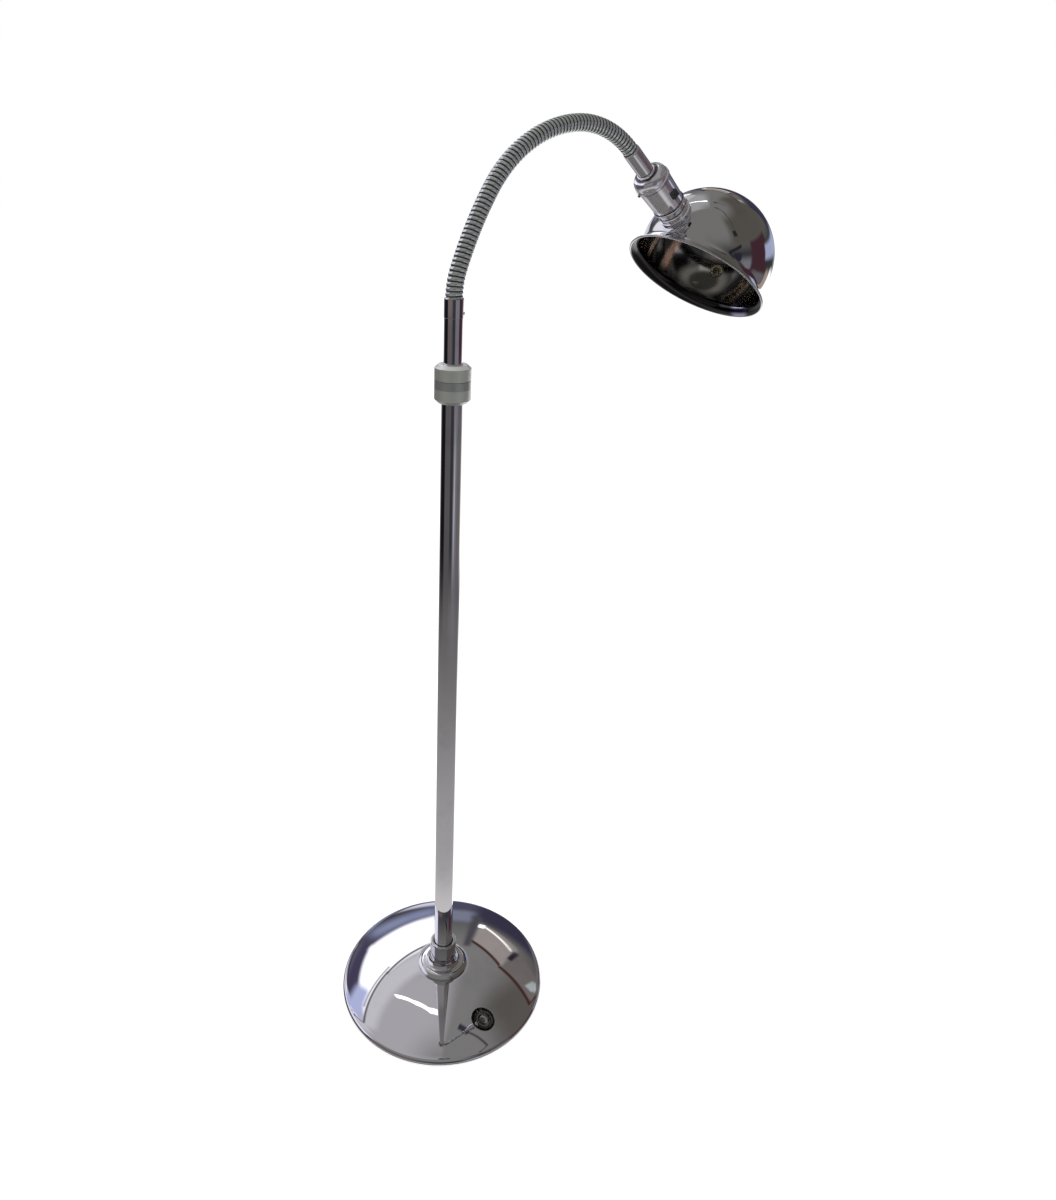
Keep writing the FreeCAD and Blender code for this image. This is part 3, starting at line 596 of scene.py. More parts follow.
def wound_piece(name, root, crest, pitch, turns, start, around=40, across=7):
    """A round ridge wound about Z: half a circle is squeezed to one turn's profile, then screwed upwards."""
    bpy.ops.object.select_all(action="DESELECT")
    bpy.ops.mesh.primitive_circle_add(vertices=2 * across, radius=1, rotation=(pi / 2, 0, 0))
    piece = bpy.context.object
    piece.name = name
    settle()
    bpy.ops.object.mode_set(mode="EDIT")
    bpy.ops.mesh.select_all(action="DESELECT")
    bpy.ops.object.mode_set(mode="OBJECT")
    for vertex in piece.data.vertices:
        vertex.select = vertex.co.x < -1e-4
    bpy.ops.object.mode_set(mode="EDIT")
    bpy.ops.mesh.delete(type="VERT")
    bpy.ops.mesh.select_all(action="SELECT")
    bpy.ops.transform.resize(value=(crest - root, 1, pitch / 2), center_override=(0, 0, 0))
    bpy.ops.transform.translate(value=(root, 0, start + pitch / 2))
    bpy.ops.object.mode_set(mode="OBJECT")
    apply_modifier(piece, "SCREW", axis="Z", angle=2 * pi, screw_offset=pitch, iterations=turns,
                   steps=around, render_steps=around, use_smooth_shade=True)
    bpy.ops.object.mode_set(mode="EDIT")
    bpy.ops.mesh.select_all(action="SELECT")
    bpy.ops.mesh.remove_doubles(threshold=1e-6)
    bpy.ops.mesh.normals_make_consistent(inside=False)
    bpy.ops.object.mode_set(mode="OBJECT")
    return piece


def mark_grooves(piece):
    """Store on each point how far it lies below the coils' crests, for the finish to read."""
    groove = piece.data.attributes.new("groove", "FLOAT", "POINT")
    for vertex, depth in zip(piece.data.vertices, groove.data):
        depth.value = (coil_crest - hypot(vertex.co.x, vertex.co.y)) / (coil_crest - coil_root)


neck_line = bpy.data.curves.new("neck line", "CURVE")
neck_line.dimensions = "3D"
line_steps = 4 * neck_links * coils_per_link
spline = neck_line.splines.new("POLY")
spline.points.add(line_steps + 12)
for k, point in enumerate(spline.points):
    point.co = (*neck_at(k * coil_pitch / 4)[0], 1)
neck_guide = bpy.data.objects.new("neck line", neck_line)
bpy.context.scene.collection.objects.link(neck_guide)

neck_chrome = plated("neck chrome", (0.61, 0.635, 0.635), 0.1, 0.2, 80.0, 0.0, 0.0, metallic=0.85)
tree = neck_chrome.node_tree
below = add_node(tree, "Attribute", {}, attribute_name="groove")["Fac"]
# Painted shade: the grooves between the coils are painted dark by their depth below the crests.
paint_over(tree, spread(tree, below, 0.06, 0.46), (0.05, 0.058, 0.057))
for k in range(neck_links + 1):
    low = (k - 0.5) * link_length if k else -coil_pitch
    high = (k + 0.5) * link_length if k < neck_links else k * link_length + coil_pitch
    turns = round((high - low) / coil_pitch)
    coil = wound_piece("neck_coil_%02d" % (k + 1), coil_root, coil_crest, coil_pitch, turns, low)
    mark_grooves(coil)
    apply_modifier(coil, "CURVE", object=neck_guide, deform_axis="POS_Z")
    coil.data.materials.append(neck_chrome)
    if k < neck_links:
        before = neck_at(k * link_length - bend_reach if k else -0.001)[0]
        after = neck_at(k * link_length + bend_reach)[0]
        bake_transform(coil)
        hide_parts("neck_link_%02d" % (k + 1))
    else:
        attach(coil, "head")
bpy.data.objects.remove(neck_guide)


# ---- Lampholder ----
# A lampholder pressed from chromed sheet: a ferrule joins it to the neck, a domed cap and a tapered shell
# hold the switch block, and its threaded mouth goes through the shade. A tab at the cap frees the shell.

head_ferrule_length = 0.0315
ferrule_mouth = 0.0092
mouth_bevel = 0.0004
ferrule_end = 0.001
neck_stop = 0.0235
holder_sheet = 0.0009
cap_hub_radius = 0.011
cap_hub = 0.0026
cap_radius = 0.0208
hub_round = 0.0015
hub_corner = 0.0004
hub_depth = 0.008
cap_dome = 0.0135
cap_bulge = 0.003
rim_step = 0.0012
rim_bevel = 0.0008
cap_height = 0.017
shell_top = 0.015
shell_top_radius = 0.0197
shell_taper = 0.021
shell_waist = 0.052
shell_waist_radius = 0.0183
shell_bead = 0.001
bead_half = 0.002
shell_end = 0.061
shell_end_radius = 0.0177
end_round = 0.0006
shell_mouth = shell_end + end_round
liner_way = 0.0154
nipple_way = 0.00495
switch_at = 0.036
switch_way = 0.0092
tab_turn = radians(22)
tab_height = 0.018
tab_reach = 0.0205
tab_side = 0.0036
tab_thickness = 0.0014
tab_round = 0.0004
shade_line_half = 0.0004

neck_end, head_lean = neck_at(neck_links * link_length)
head_axis = Vector((sin(head_lean), 0, cos(head_lean)))
cap_top = neck_end + head_ferrule_length * head_axis
head_lay = (tuple(cap_top), head_lean)


def lay_along(piece, point, lean):
    """Lean a piece that was modelled along Z over towards +X, and set its origin at the point."""
    only(piece)
    piece.rotation_euler = (0, lean, 0)
    piece.location = point
    settle()


def dress_head(piece, material, slot, *nodes, body="head"):
    """Lean a piece of the head into its line, give it its finish and let it ride on its body."""
    lay_along(piece, cap_top, head_lean)
    dress(piece, material, slot, body, *nodes)


def shade_lined(name, tint, bright, dull, metallic, joints):
    """Plate of the head's fittings, with a dark line painted round at each given height: painted shade in
    joints and creases.
    """
    material = plated(name, tint, bright, dull, 60.0, 1500.0, 1500.0, lay=head_lay, metallic=metallic)
    tree = material.node_tree
    own = parts_of(tree, tree.nodes["Mapping"].outputs[0])
    for height in joints:
        away = maths(tree, "ABSOLUTE", maths(tree, "SUBTRACT", own[2], height))
        paint_over(tree, spread(tree, away, shade_line_half, 2.5 * shade_line_half, 1.0, 0.0), (0.08, 0.075, 0.09))
    return material


# Painted shade lines at the ferrule's end, the cap's hub and rim, the shell's bead and its mouth.
head_fitting = shade_lined("head fitting chrome", (0.76, 0.75, 0.81), 0.07, 0.13, 0.94, [0.0])
holder_chrome = shade_lined("lampholder chrome", (0.84, 0.83, 0.88), 0.07, 0.14, 0.92,
                       [cap_hub, cap_height, shell_waist, shell_end])

mouth_edge = mouth_bevel - head_ferrule_length
ferrule_rings = [(neck_way, -head_ferrule_length), (ferrule_mouth, -head_ferrule_length)]
ferrule_rings += [(upper_radius, mouth_edge), (upper_radius, -ferrule_end), (upper_radius - ferrule_end, 0)]
ferrule_rings += [(wire_way, 0), (wire_way, -neck_stop), (neck_way, -neck_stop)]
head_ferrule = turned_piece("head_neck_ferrule", ferrule_rings, soft_edge, 64)
dress_head(head_ferrule, head_fitting, "chromed_fittings", "head_ferrule")

rim = (cap_radius - rim_step, cap_dome)
cap_bore = cap_radius - holder_sheet
hub_inside = (cap_hub_radius - holder_sheet, cap_hub + holder_sheet)
rim_inside = (rim[0] - holder_sheet, cap_dome + 0.6 * holder_sheet)
cap_rings = [(nipple_way, 0), (cap_hub_radius - hub_round, 0), (cap_hub_radius - hub_corner, hub_corner)]
cap_rings += [(cap_hub_radius, hub_round), (cap_hub_radius, cap_hub)]
cap_rings += arc_rings(cap_rings[-1], rim, -cap_bulge, 12)
cap_rings += [(cap_radius, cap_dome + rim_bevel), (cap_radius, cap_height), (cap_bore, cap_height)]
cap_rings += [(cap_bore, rim_inside[1] + end_round), rim_inside]
cap_rings += arc_rings(rim_inside, hub_inside, cap_bulge, 8)
cap_rings += [(hub_inside[0], hub_depth), (nipple_way, hub_depth)]
cap = turned_piece("lampholder_domed_cap", cap_rings, soft_edge)
dress_head(cap, holder_chrome, "chromed_holder", "lampholder_cap")

bead_foot = shell_waist + 2 * bead_half
end_bore = shell_end_radius - holder_sheet
top_bore = shell_top_radius - holder_sheet
shell_rings = [(top_bore, shell_top), (shell_top_radius, shell_top)]
shell_rings += [(shell_top_radius, shell_taper), (shell_waist_radius, shell_waist)]
shell_rings += arc_rings(shell_rings[-1], (shell_waist_radius, bead_foot), -shell_bead, 8)
shell_rings += [(shell_end_radius, bead_foot + end_round), (shell_end_radius, shell_end)]
shell_rings += [(shell_end_radius - 2 * end_round, shell_mouth), (liner_way, shell_mouth)]
shell_rings += [(liner_way, shell_mouth - holder_sheet), (end_bore - end_round, shell_mouth - holder_sheet)]
shell_rings += [(end_bore, shell_end - holder_sheet), (end_bore, bead_foot + soft_edge)]
shell_rings += [(shell_waist_radius - holder_sheet, shell_waist), (top_bore, shell_taper)]
shell = turned_piece("lampholder_body", shell_rings, soft_edge)
cut_away(shell, block((switch_way, 3 * shell_top_radius, switch_way), (0, 0, switch_at)))
dress_head(shell, holder_chrome, "chromed_holder", "lampholder_shell")

tab_place = (tab_reach * cos(tab_turn), tab_reach * sin(tab_turn), tab_height)
tab = block((tab_side, tab_side, tab_thickness), tab_place, tab_turn)
tab.name = "shell_release_tab"
settle()
apply_modifier(tab, "BEVEL", width=tab_round, segments=2, limit_method="ANGLE")
dress_head(tab, holder_chrome, "chromed_holder")


# ---- Push-through switch ----
# A square bar of black moulding runs right through the holder and is pushed from side to side. Grooves across
# its two ends give the finger hold.

switch_side = 0.0086
switch_travel = 0.0027
switch_proud = 0.0032
switch_round = 0.0006
groove_side = 0.0006
end_grooves = 5

switch_share = (switch_at - shell_taper) / (shell_waist - shell_taper)
holder_side = shell_top_radius + (shell_waist_radius - shell_top_radius) * switch_share
bar_length = 2 * (holder_side + switch_proud) - switch_travel
bar_low = -holder_side - switch_proud

switch = block((switch_side, bar_length, switch_side), (0, bar_low + bar_length / 2, switch_at))
switch.name = "push_switch_bar"
settle()
apply_modifier(switch, "BEVEL", width=switch_round, segments=3, limit_method="ANGLE")
groove_pitch = switch_side / (end_grooves + 1)
for end in (bar_low, bar_low + bar_length):
    for groove in range(1, end_grooves + 1):
        height = switch_at - switch_side / 2 + groove * groove_pitch
        cut_away(switch, block((2 * switch_side, groove_side, groove_side), (0, end, height)))
dress_head(switch, black_plastic, "black_plastic", "switch_bar", body="switch")


# ---- Lamp socket ----
# The screw shell for the lamp is rolled from thin nickelled brass, with the round thread of an E27 lamp. It
# sits in a porcelain sleeve over a sprung centre contact.

socket_sheet = 0.0003
thread_root = 0.0129
thread_crest = 0.0134
thread_foot = 0.0563
thread_pitch = 0.00363
thread_turns = 5

brass = plated("nickelled brass", (0.72, 0.6, 0.4), 0.14, 0.3, 150.0, 0.0, 0.0, lay=head_lay)
porcelain = plain("glazed porcelain", (0.8, 0.79, 0.75), (0.72, 0.71, 0.66), 0.16, size=30.0, depth=0.00001)
socket = wound_piece("socket_screw_shell", thread_root, thread_crest, thread_pitch, thread_turns, thread_foot,
                     48, 6)
apply_modifier(socket, "SOLIDIFY", thickness=socket_sheet, offset=1)
dress_head(socket, brass, "nickel_brass", "screw_shell")
dress_nodes(brass, "nickel_brass", "centre_contact")
dress_nodes(porcelain, "lamp_porcelain", "socket_liner")


# ---- Ring nuts ----
# Two turned ring nuts on the threaded mouth pinch the shade between them: a chromed one outside with a
# beaded top edge, locked by a small black screw, and a flat one inside with notches for a spanner.

ring_top_radius = 0.0176
ring_foot_radius = 0.019
ring_bead = 0.0008
ring_bevel = 0.0008
bead_height = 0.004
ring_reach = 0.0708
ring_step = ring_reach - 0.0032
inner_nut_radius = 0.0195
inner_nut_foot = 0.0785
inner_nut_face = inner_nut_foot + 0.0006
spanner_notches = 4
notch_size = (0.004, 0.003, 0.003)
lock_turn = radians(-145)
lock_height = 0.065
lock_radius = 0.0013
lock_length = 0.003
lock_slot = 0.0005
lock_reach = ring_top_radius + 0.0014
shade_radius = 0.0792
shade_sheet = 0.0008

crown_at = ring_reach + shade_radius
crown_drop = crown_at - sqrt(shade_radius ** 2 - ring_foot_radius ** 2)
mouth_drop = crown_at - sqrt(shade_radius ** 2 - liner_way ** 2)
ring_rings = [(liner_way, shell_mouth), (ring_top_radius, shell_mouth)]
ring_rings += arc_rings(ring_rings[-1], (ring_top_radius, shell_mouth + bead_height), -ring_bead, 8)
ring_rings += [(ring_top_radius, ring_step), (ring_foot_radius, ring_step + ring_bevel)]
ring_rings += [(ring_foot_radius, crown_drop), (liner_way, mouth_drop)]
ring_nut = turned_piece("shade_clamp_ring", ring_rings, soft_edge)
dress_head(ring_nut, holder_chrome, "chromed_holder", "shade_ring")

lock_screw = slotted_screw("ring_lock_screw", lock_radius, lock_length, lock_slot, lock_turn, lock_reach,
                           lock_height)
dress_head(lock_screw, black_plastic, "black_plastic")

inner_sphere = shade_radius - shade_sheet
nut_edge = crown_at - sqrt(inner_sphere ** 2 - inner_nut_radius ** 2)
nut_seat = crown_at - sqrt(inner_sphere ** 2 - liner_way ** 2)
nut_rings = [(liner_way, nut_seat), (inner_nut_radius, nut_edge), (inner_nut_radius, inner_nut_face)]
nut_rings += [(liner_way, inner_nut_face)]
inner_nut = turned_piece("inner_ring_nut", nut_rings, grip_edge)
for notch in range(spanner_notches):
    side = (notch + 0.5) * 2 * pi / spanner_notches
    notch_at = (inner_nut_radius * cos(side), inner_nut_radius * sin(side), inner_nut_face)
    cut_away(inner_nut, block(notch_size, notch_at, side))
dress_head(inner_nut, brass, "nickel_brass", "inner_nut")


# ---- Shade ----
# Sheet metal, spun in one piece and chromed: a little more than half a ball, swept outward without a crease
# to a lip rolled into a bead. The lampholder enters at its side. Inside it is painted: a darker brown tint
# as painted shade, copper streaks as painted reflections, a dark flare band as painted shade with a lavender
# painted reflection on it, and a pale painted highlight on the bead.

crown_end = radians(101)
flare_radius = 0.0115
lip_angle = radians(15)
rim_bead = 0.0013
shade_tilt = radians(34.8)
pole = radians(0.4)
bead_steps = 14
hole_at = ring_reach + 0.002
face_blend = 0.012
rays_foot = (-0.02, -0.006)
rays_top = (0.035, 0.062)
flare_below = 0.006
flare_above = 0.014
sky_glow = (-15, 13)
inside_sheen = 0.09
streak_matt_share = 0.3
ray_share = 0.05
streaks = ((99, 4), (76, 6))

crown_centre = cap_top + crown_at * head_axis
sweep_reach = shade_radius + flare_radius
sweep_middle = (sweep_reach * sin(crown_end), sweep_reach * cos(crown_end))
lip_out = (cos(lip_angle), -sin(lip_angle))
lip_up = (sin(lip_angle), cos(lip_angle))
bead_reach = sqrt(rim_bead ** 2 - shade_sheet ** 2 / 4)
bead_open = atan2(shade_sheet / 2, -bead_reach)


def round_rings(middle, radius, start, end, steps):
    """Rings along a round stretch about a middle, from one angle off the pole to another."""
    turns = [start + (end - start) * k / steps for k in range(steps + 1)]
    return [(middle[0] + radius * sin(t), middle[1] + radius * cos(t)) for t in turns]


def vector_maths(tree, operation, *values):
    """Outputs of one Vector Math node."""
    return add_node(tree, "VectorMath", dict(enumerate(values)), operation=operation)


lip_middle = flare_radius + shade_sheet / 2
bead_at = (sweep_middle[0] - lip_middle * lip_up[0], sweep_middle[1] - lip_middle * lip_up[1])
bead_turns = [bead_open * (1 - 2 * k / bead_steps) for k in range(1, bead_steps)]
inner_sweep = flare_radius + shade_sheet
sweep_end = lip_angle + bead_reach / flare_radius
inner_start = lip_angle + bead_reach / inner_sweep
shade_rings = round_rings((0, 0), shade_radius, pole, crown_end, 46)
shade_rings += round_rings(sweep_middle, -flare_radius, crown_end, sweep_end, 10)[1:]
shade_rings += [tuple(bead_at[k] + rim_bead * (cos(t) * lip_out[k] + sin(t) * lip_up[k])
                      for k in range(2)) for t in bead_turns]
shade_rings += round_rings(sweep_middle, -inner_sweep, inner_start, crown_end, 10)
shade_rings += round_rings((0, 0), inner_sphere, crown_end, pole, 40)[1:]

crown_foot = shade_radius * cos(crown_end)
shade_lay = (tuple(crown_centre), shade_tilt)
shade_chrome = plated("shade chrome", (0.62, 0.62, 0.63), 0.015, 0.07, 18.0, 600.0, 600.0, 0.000003,
                      lay=shade_lay)
tree = shade_chrome.node_tree
spot = add_node(tree, "TexCoord", {})
from_middle = vector_maths(tree, "SUBTRACT", spot["Object"], crown_centre)[0]
outward = vector_maths(tree, "DOT_PRODUCT", from_middle, spot["Normal"])["Value"]
inside = spread(tree, outward, -face_blend, face_blend, 1.0, 0.0)
own = parts_of(tree, tree.nodes["Mapping"].outputs[0])
bearing = maths(tree, "ARCTAN2", own[1], own[0])
around = [maths(tree, side, bearing) for side in ("COSINE", "SINE")]
ray_place = joined(tree, *around, times(tree, own[2], 4.0))
rays = spread(tree, noise(tree, ray_place, 9.0, 4.0, 0.65), 0.5, 0.72)
near_lip = spread(tree, own[2], *rays_foot)
degrees = times(tree, bearing, 180 / pi)


def toward(middle, half):
    """Mask that is 1 at one bearing round the shade and fades out at half its width to either side."""
    away = maths(tree, "ABSOLUTE", maths(tree, "SUBTRACT", degrees, middle))
    return spread(tree, away, 0.3 * half, half, 1.0, 0.0)


# Painted reflections: copper streaks, from noisy rays and at two given bearings.
rays = times(tree, rays, ray_share)
for middle, half in streaks:
    rays = maths(tree, "MAXIMUM", rays, toward(middle, half))
off_pole = spread(tree, own[2], *rays_top, 1.0, 0.0)
streak_reflections = times(tree, rays, times(tree, near_lip, off_pole))
# Painted shade inside: a darker brown tint, over which the copper streaks are painted reflections.
inside_paint = blended(tree, streak_reflections, (0.42, 0.416, 0.397), (0.95, 0.62, 0.48))
# Painted shade: the inside of the flare is painted nearly black.
flare = spread(tree, own[2], crown_foot - flare_below, crown_foot + flare_above, 1.0, 0.0)
inside_paint = blended(tree, flare, inside_paint, (0.043, 0.041, 0.044))
# Painted reflection: a lavender glow on the flare at one bearing.
glow = times(tree, flare, toward(*sky_glow))
inside_paint = blended(tree, glow, inside_paint, (0.42, 0.4, 0.58))
# Painted highlight: the inside of the rolled bead is painted pale.
on_bead = spread(tree, off_axis(tree, own), bead_at[0] - rim_bead - 0.0001, bead_at[0] - 0.0004)
inside_paint = blended(tree, on_bead, inside_paint, (0.85, 0.84, 0.88))
paint_over(tree, inside, inside_paint)
sheen = tree.nodes["Principled BSDF"].inputs["Roughness"].links[0].from_socket
dull = times(tree, inside, inside_sheen)
set_input(tree, "Roughness", maths(tree, "MAXIMUM", sheen, dull))
# Where the painted reflection streaks lie, the inside is made partly matt.
matt_streaks = times(tree, times(tree, streak_reflections, inside), streak_matt_share)
set_input(tree, "Metallic", maths(tree, "SUBTRACT", 1.0, matt_streaks))

shade = turned_piece("shade_dome", shade_rings, sides=160, capped=True)
lay_along(shade, crown_centre, shade_tilt)
bpy.ops.mesh.primitive_cylinder_add(vertices=96, radius=liner_way, depth=drill_length,
                                    location=cap_top + hole_at * head_axis, rotation=(0, head_lean, 0))
cut_away(shade, bpy.context.object)
dress(shade, shade_chrome, "chromed_shade", "head", "shade")


# ---- Floor, room and light ----
# A plain pale floor that runs into a pale background. Polished metal shows only what is around it, so a wide
# hollow ball, seen by nothing but reflections, carries the room: floor, walls, window, doorway and ceiling.

heading = radians(39.5)
room_radius = 30.0
floor_gap = 0.0002

# What the room shows, as patches: left and right side, lower and upper edge in degrees, paint, softness.
# An edge with two heights slopes from the left side to the right.
lit_floor = [(-12, 44, -50, -29, (1.3, 1.3, 1.3), 5)]
# Paler towards the window, browner towards the door.
ceiling = [
    (-80, 2, 46, 82, (0.5, 0.49, 0.5), 10),
    (28, 145, 20, 66, (0.125, 0.115, 0.1), 9)]
behind_camera = [
    (-172, -112, -26, 8, (0.13, 0.125, 0.125), 6),
    (-160, -112, -9, 8, (0.24, 0.19, 0.18), 4),
    (-110, -56, -26, -3, (0.012, 0.01, 0.013), 5),
    (-52, -8, -14, 6, (0.15, 0.16, 0.22), 3),
    (-44, -8, -27, -14, (0.3, 0.3, 0.31), 4),
    (-7, 14, -18, 4, (0.8, 0.8, 0.8), 3),
    (14, 38, -18, 3, (0.3, 0.3, 0.31), 3),
    (96, 156, -27, 3, (0.24, 0.24, 0.275), 6),
    (132, 147, -23, -16, (0.55, 0.55, 0.56), 3)]
# Pale wall, and the window with its dark frame and bars.
window_wall = [
    (-105, -60, 7, 48, (1.0, 0.98, 1.1), 4),
    (-64, -38, 4, (42, 24), (1.15, 1.13, 1.25), 3),
    (-48, -27, (38, 20), (50, 31), (0.075, 0.065, 0.12), 2),
    (-28, -3, (20, 9), (31, 19), (0.075, 0.065, 0.12), 2),
    (-40, 12, 1.5, (12, 8), (0.85, 0.83, 0.95), 1.5),
    (-60, -6, (52, 37), (60, 48), (0.7, 0.69, 0.71), 2.5),
    (-60, -28, (58, 26), (54, 43), (1.7, 1.7, 1.72), 1.5),
    (-29, -3, (26.5, 16), (43.5, 35), (1.7, 1.7, 1.72), 1.5),
    (-56, -42, (44, 39), (52, 46), (0.56, 0.61, 0.9), 2),
    (-25, -5, (17, 11), (23, 17), (0.3, 0.34, 0.5), 3),
    (-58, -30, (53.4, 43), (54.4, 44), (0.14, 0.12, 0.13), 0.5),
    (-31, -5, (43.6, 33), (44.6, 34.2), (0.14, 0.12, 0.13), 0.5),
    (-50, -28, (49, 41), (49.8, 41.8), (0.5, 0.48, 0.5), 0.4)]
# One bent streak.
ceiling_lamp = [
    (-35, -27, (55, 62), (57, 63.8), (4, 4, 4), 0.5),
    (-27, -17, (62, 67.6), (64, 69.4), (4, 4, 4), 0.5),
    (-17, -1, (67.6, 70.6), (69.6, 72.4), (4, 4, 4), 0.5)]
# Dark wall with the door frame and its lamp.
right_wall = [
    (-4, 7, 3, 13, (0.09, 0.09, 0.14), 2),
    (-4, 6, 13, 21, (0.24, 0.26, 0.34), 2),
    (5, 44, 6, (18, 34), (0.05, 0.046, 0.08), 2.5),
    (7, 23, (20, 28), (32, 40.5), (0.4, 0.36, 0.335), 1),
    (23, 43, (30, 37), (40.5, 46), (0.2, 0.175, 0.165), 1.2),
    (7, 22, (31.8, 40), (33.2, 41.4), (0.07, 0.028, 0.022), 0.5),
    (22, 46, (40.6, 45.4), (42, 46.8), (0.07, 0.028, 0.022), 0.5),
    (4.5, 7.3, 16, 36, (0.09, 0.085, 0.1), 1.2),
    (22.2, 24.4, 30, 35.5, (0.03, 0.025, 0.04), 0.6),
    (9.5, 21.5, (22, 30), (22.9, 30.9), (1.7, 1.6, 1.45), 0.35),
    (7.3, 9.2, 21.3, 23.3, (2.5, 2.5, 2.4), 0.5),
    (36, 40, 37, 41.5, (0.5, 0.56, 0.55), 0.7)]
# Dark blades and their rod, behind the camera.
ceiling_fan = [
    (20, 36, 73, 75.3, (0.04, 0.04, 0.05), 0.7),
    (36, 62, (73.6, 70), (74.4, 71), (0.06, 0.06, 0.065), 0.5),
    (62, 96, (83, 79.5), (86, 82), (0.09, 0.088, 0.085), 1.2),
    (95, 122, (79.5, 66), (82, 69), (0.09, 0.088, 0.085), 1.2),
    (121, 132, (64, 44), (70, 50), (0.09, 0.088, 0.085), 1.2)]
# Red curtain, bright doorway and dark things beside the camera.
round_camera = [
    (66, 114, -27, -12, (0.18, 0.172, 0.178), 3),
    (69, 109, -12, 23, (0.075, 0.03, 0.042), 3),
    (30, 74, -1, (8, 12), (0.5, 0.56, 0.78), 2.5),
    (14, 48, -24, -7, (1.5, 1.5, 1.5), 2),
    (48, 64, -24, -9, (0.5, 0.4, 0.34), 3),
    (128, 153, (18, 10), (23, 15), (0.028, 0.024, 0.03), 1.5),
    (129, 143, -2, 11, (0.032, 0.028, 0.045), 1.5),
    (130, 138, 35, 44, (0.03, 0.026, 0.028), 1.5)]


def pale_floor():
    """A matt plane that the camera sees a little brighter than it is lit."""
    bpy.ops.object.select_all(action="DESELECT")
    bpy.ops.mesh.primitive_plane_add(size=40, location=(0, 0, -floor_gap))
    floor = bpy.context.object
    floor.name = "floor"
    material, tree, _ = new_material("pale floor", None)
    set_input(tree, "Base Color", (0.9, 0.9, 0.9, 1))
    set_input(tree, "Roughness", 0.9)
    set_input(tree, "Specular IOR Level", 0.0)
    set_input(tree, "Emission Color", (1, 1, 1, 1))
    path = add_node(tree, "LightPath", {})
    set_input(tree, "Emission Strength", times(tree, path["Is Camera Ray"], 0.4))
    floor.data.materials.append(material)
    floor.visible_glossy = False


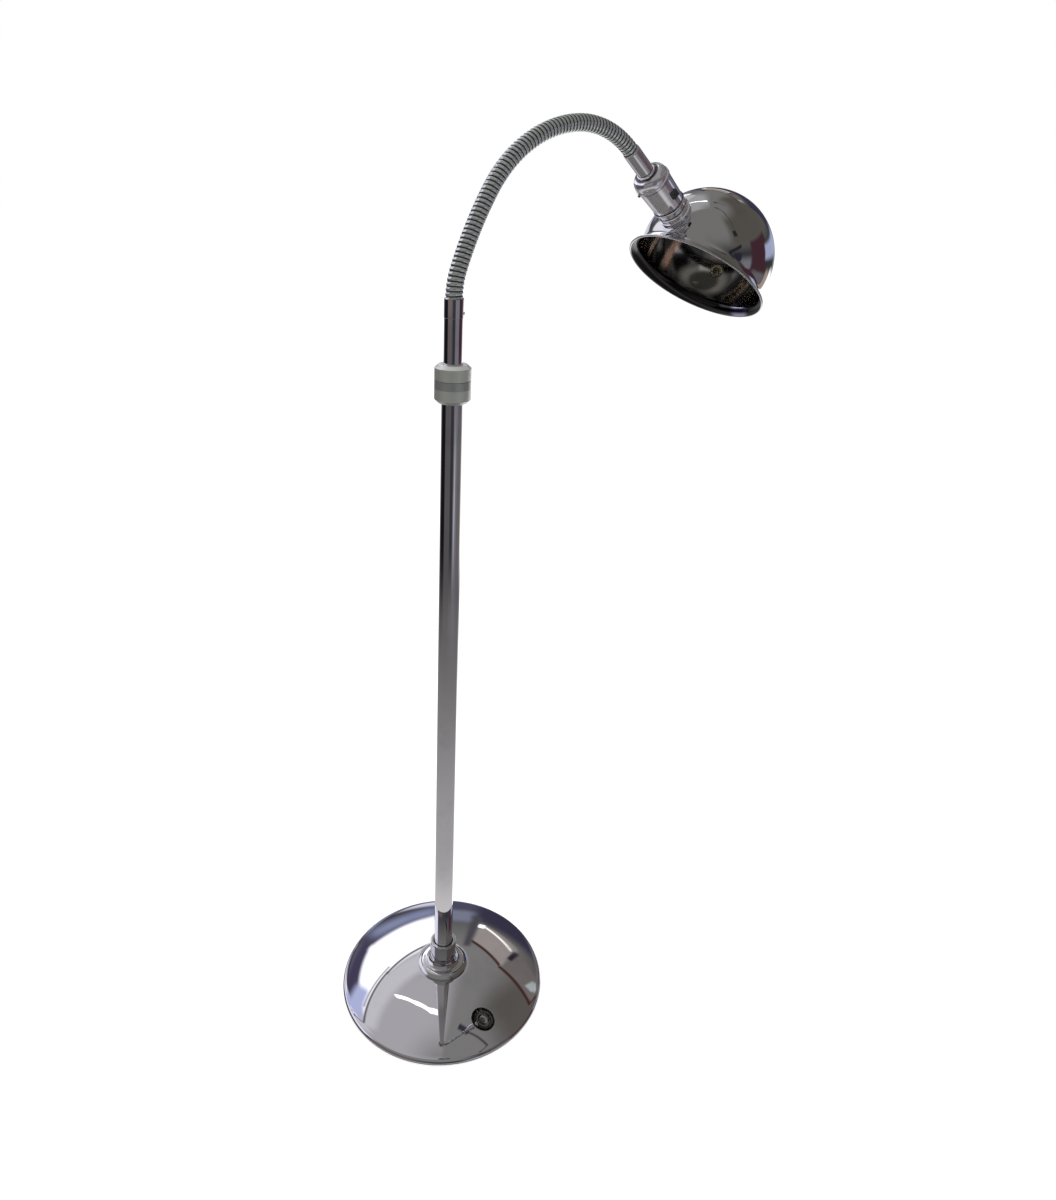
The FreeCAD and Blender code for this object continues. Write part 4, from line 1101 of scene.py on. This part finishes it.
def room_ball():
    """The room as reflections see it, painted by degrees to the right of the heading and degrees up."""
    bpy.ops.object.select_all(action="DESELECT")
    bpy.ops.mesh.primitive_uv_sphere_add(segments=64, ring_count=32, radius=room_radius, location=(0, 0, 0.5))
    room = bpy.context.object
    room.name = "reflected_room"
    room.rotation_euler = (0, 0, -heading)
    material, tree, place = new_material("reflected room", None)
    tree.nodes.remove(tree.nodes["Principled BSDF"])
    aim = parts_of(tree, vector_maths(tree, "NORMALIZE", place)[0])
    rise = times(tree, maths(tree, "ARCSINE", aim[2]), 180 / pi)
    turn = times(tree, maths(tree, "ARCTAN2", aim[0], aim[1]), 180 / pi)

    def edge(left, right, at_left, at_right):
        """Height of an edge that runs straight from one side of a patch to the other."""
        if at_left == at_right:
            return at_left
        slope = (at_right - at_left) / (right - left)
        return maths(tree, "MULTIPLY_ADD", turn, slope, at_left - slope * left)

    def patch(colour, left, right, low, high, paint, soft):
        """Paint a patch; low and high are each one height, or one at the left side and one at the right."""
        low = low if isinstance(low, tuple) else (low, low)
        high = high if isinstance(high, tuple) else (high, high)
        over = maths(tree, "SUBTRACT", rise, edge(left, right, *low))
        under = maths(tree, "SUBTRACT", edge(left, right, *high), rise)
        sides = times(tree, spread(tree, turn, left - soft, left + soft),
                      spread(tree, turn, right - soft, right + soft, 1.0, 0.0))
        heights = times(tree, spread(tree, over, -soft, soft), spread(tree, under, -soft, soft))
        return blended(tree, times(tree, sides, heights), colour, paint)

    # The floor further off, the lit floor, the floor under the lamp and the ceiling, round dark walls.
    colour = blended(tree, spread(tree, rise, -28.0, -22.0), (0.21, 0.2, 0.195), (0.05, 0.05, 0.055))
    colour = blended(tree, spread(tree, rise, -43.0, -28.0), (0.53, 0.52, 0.52), colour)
    colour = blended(tree, spread(tree, rise, -60.0, -48.0), (0.14, 0.13, 0.12), colour)
    colour = blended(tree, spread(tree, rise, 6.0, 40.0), colour, (0.25, 0.245, 0.235))
    spots = lit_floor + ceiling + behind_camera + window_wall + ceiling_lamp
    for spot in spots + right_wall + ceiling_fan + round_camera:
        colour = patch(colour, *spot)
    light = add_node(tree, "Emission", {"Color": colour})[0]
    tree.links.new(light, tree.nodes["Material Output"].inputs["Surface"])
    room.data.materials.append(material)
    for ray in ("camera", "diffuse", "transmission", "volume_scatter", "shadow"):
        setattr(room, "visible_" + ray, False)


def soft_light(name, location, size, power):
    """A large lamp above, aimed at the middle of the object."""
    bpy.ops.object.light_add(type="AREA", location=location)
    lamp = bpy.context.object
    lamp.name = name
    lamp.data.size = size
    lamp.data.energy = power
    lamp.rotation_euler = (Vector(location) - Vector((0.1, 0, 0.5))).to_track_quat("Z", "Y").to_euler()
    lamp.visible_glossy = False


pale_floor()
room_ball()
soft_light("key light", (-2.2, -1.6, 3.0), 2.2, 60)
soft_light("fill light", (2.2, -2.2, 2.2), 2.5, 25)

world = bpy.context.scene.world or bpy.data.worlds.new("World")
bpy.context.scene.world = world
world.use_nodes = True
tree = world.node_tree
background = tree.nodes["Background"]
background.inputs["Color"].default_value = (1, 1, 1, 1)
path = add_node(tree, "LightPath", {})
seen = maths(tree, "MAXIMUM", path["Is Glossy Ray"], path["Is Transmission Ray"])
seen = maths(tree, "MAXIMUM", path["Is Camera Ray"], seen)
tree.links.new(spread(tree, seen, 0.0, 1.0, 0.75, 1.0), background.inputs["Strength"])


# ---- Camera ----
# Held at the lamp's own height and tipped down to see the whole base.

camera_pitch = radians(70.5)
camera_roll = radians(2.2)
optics = bpy.data.cameras.new("camera")
optics.lens = 27.55
optics.sensor_width = 36
optics.shift_x = 0.018
optics.shift_y = -0.0858
camera = bpy.data.objects.new("camera", optics)
bpy.context.scene.collection.objects.link(camera)
camera.location = (-0.5283, -0.7318, 0.9738)
turned = Matrix.Rotation(-heading, 3, "Z") @ Matrix.Rotation(camera_pitch, 3, "X")
camera.rotation_euler = (turned @ Matrix.Rotation(camera_roll, 3, "Z")).to_euler()
bpy.context.scene.camera = camera
bpy.context.scene.view_settings.view_transform = "Standard"
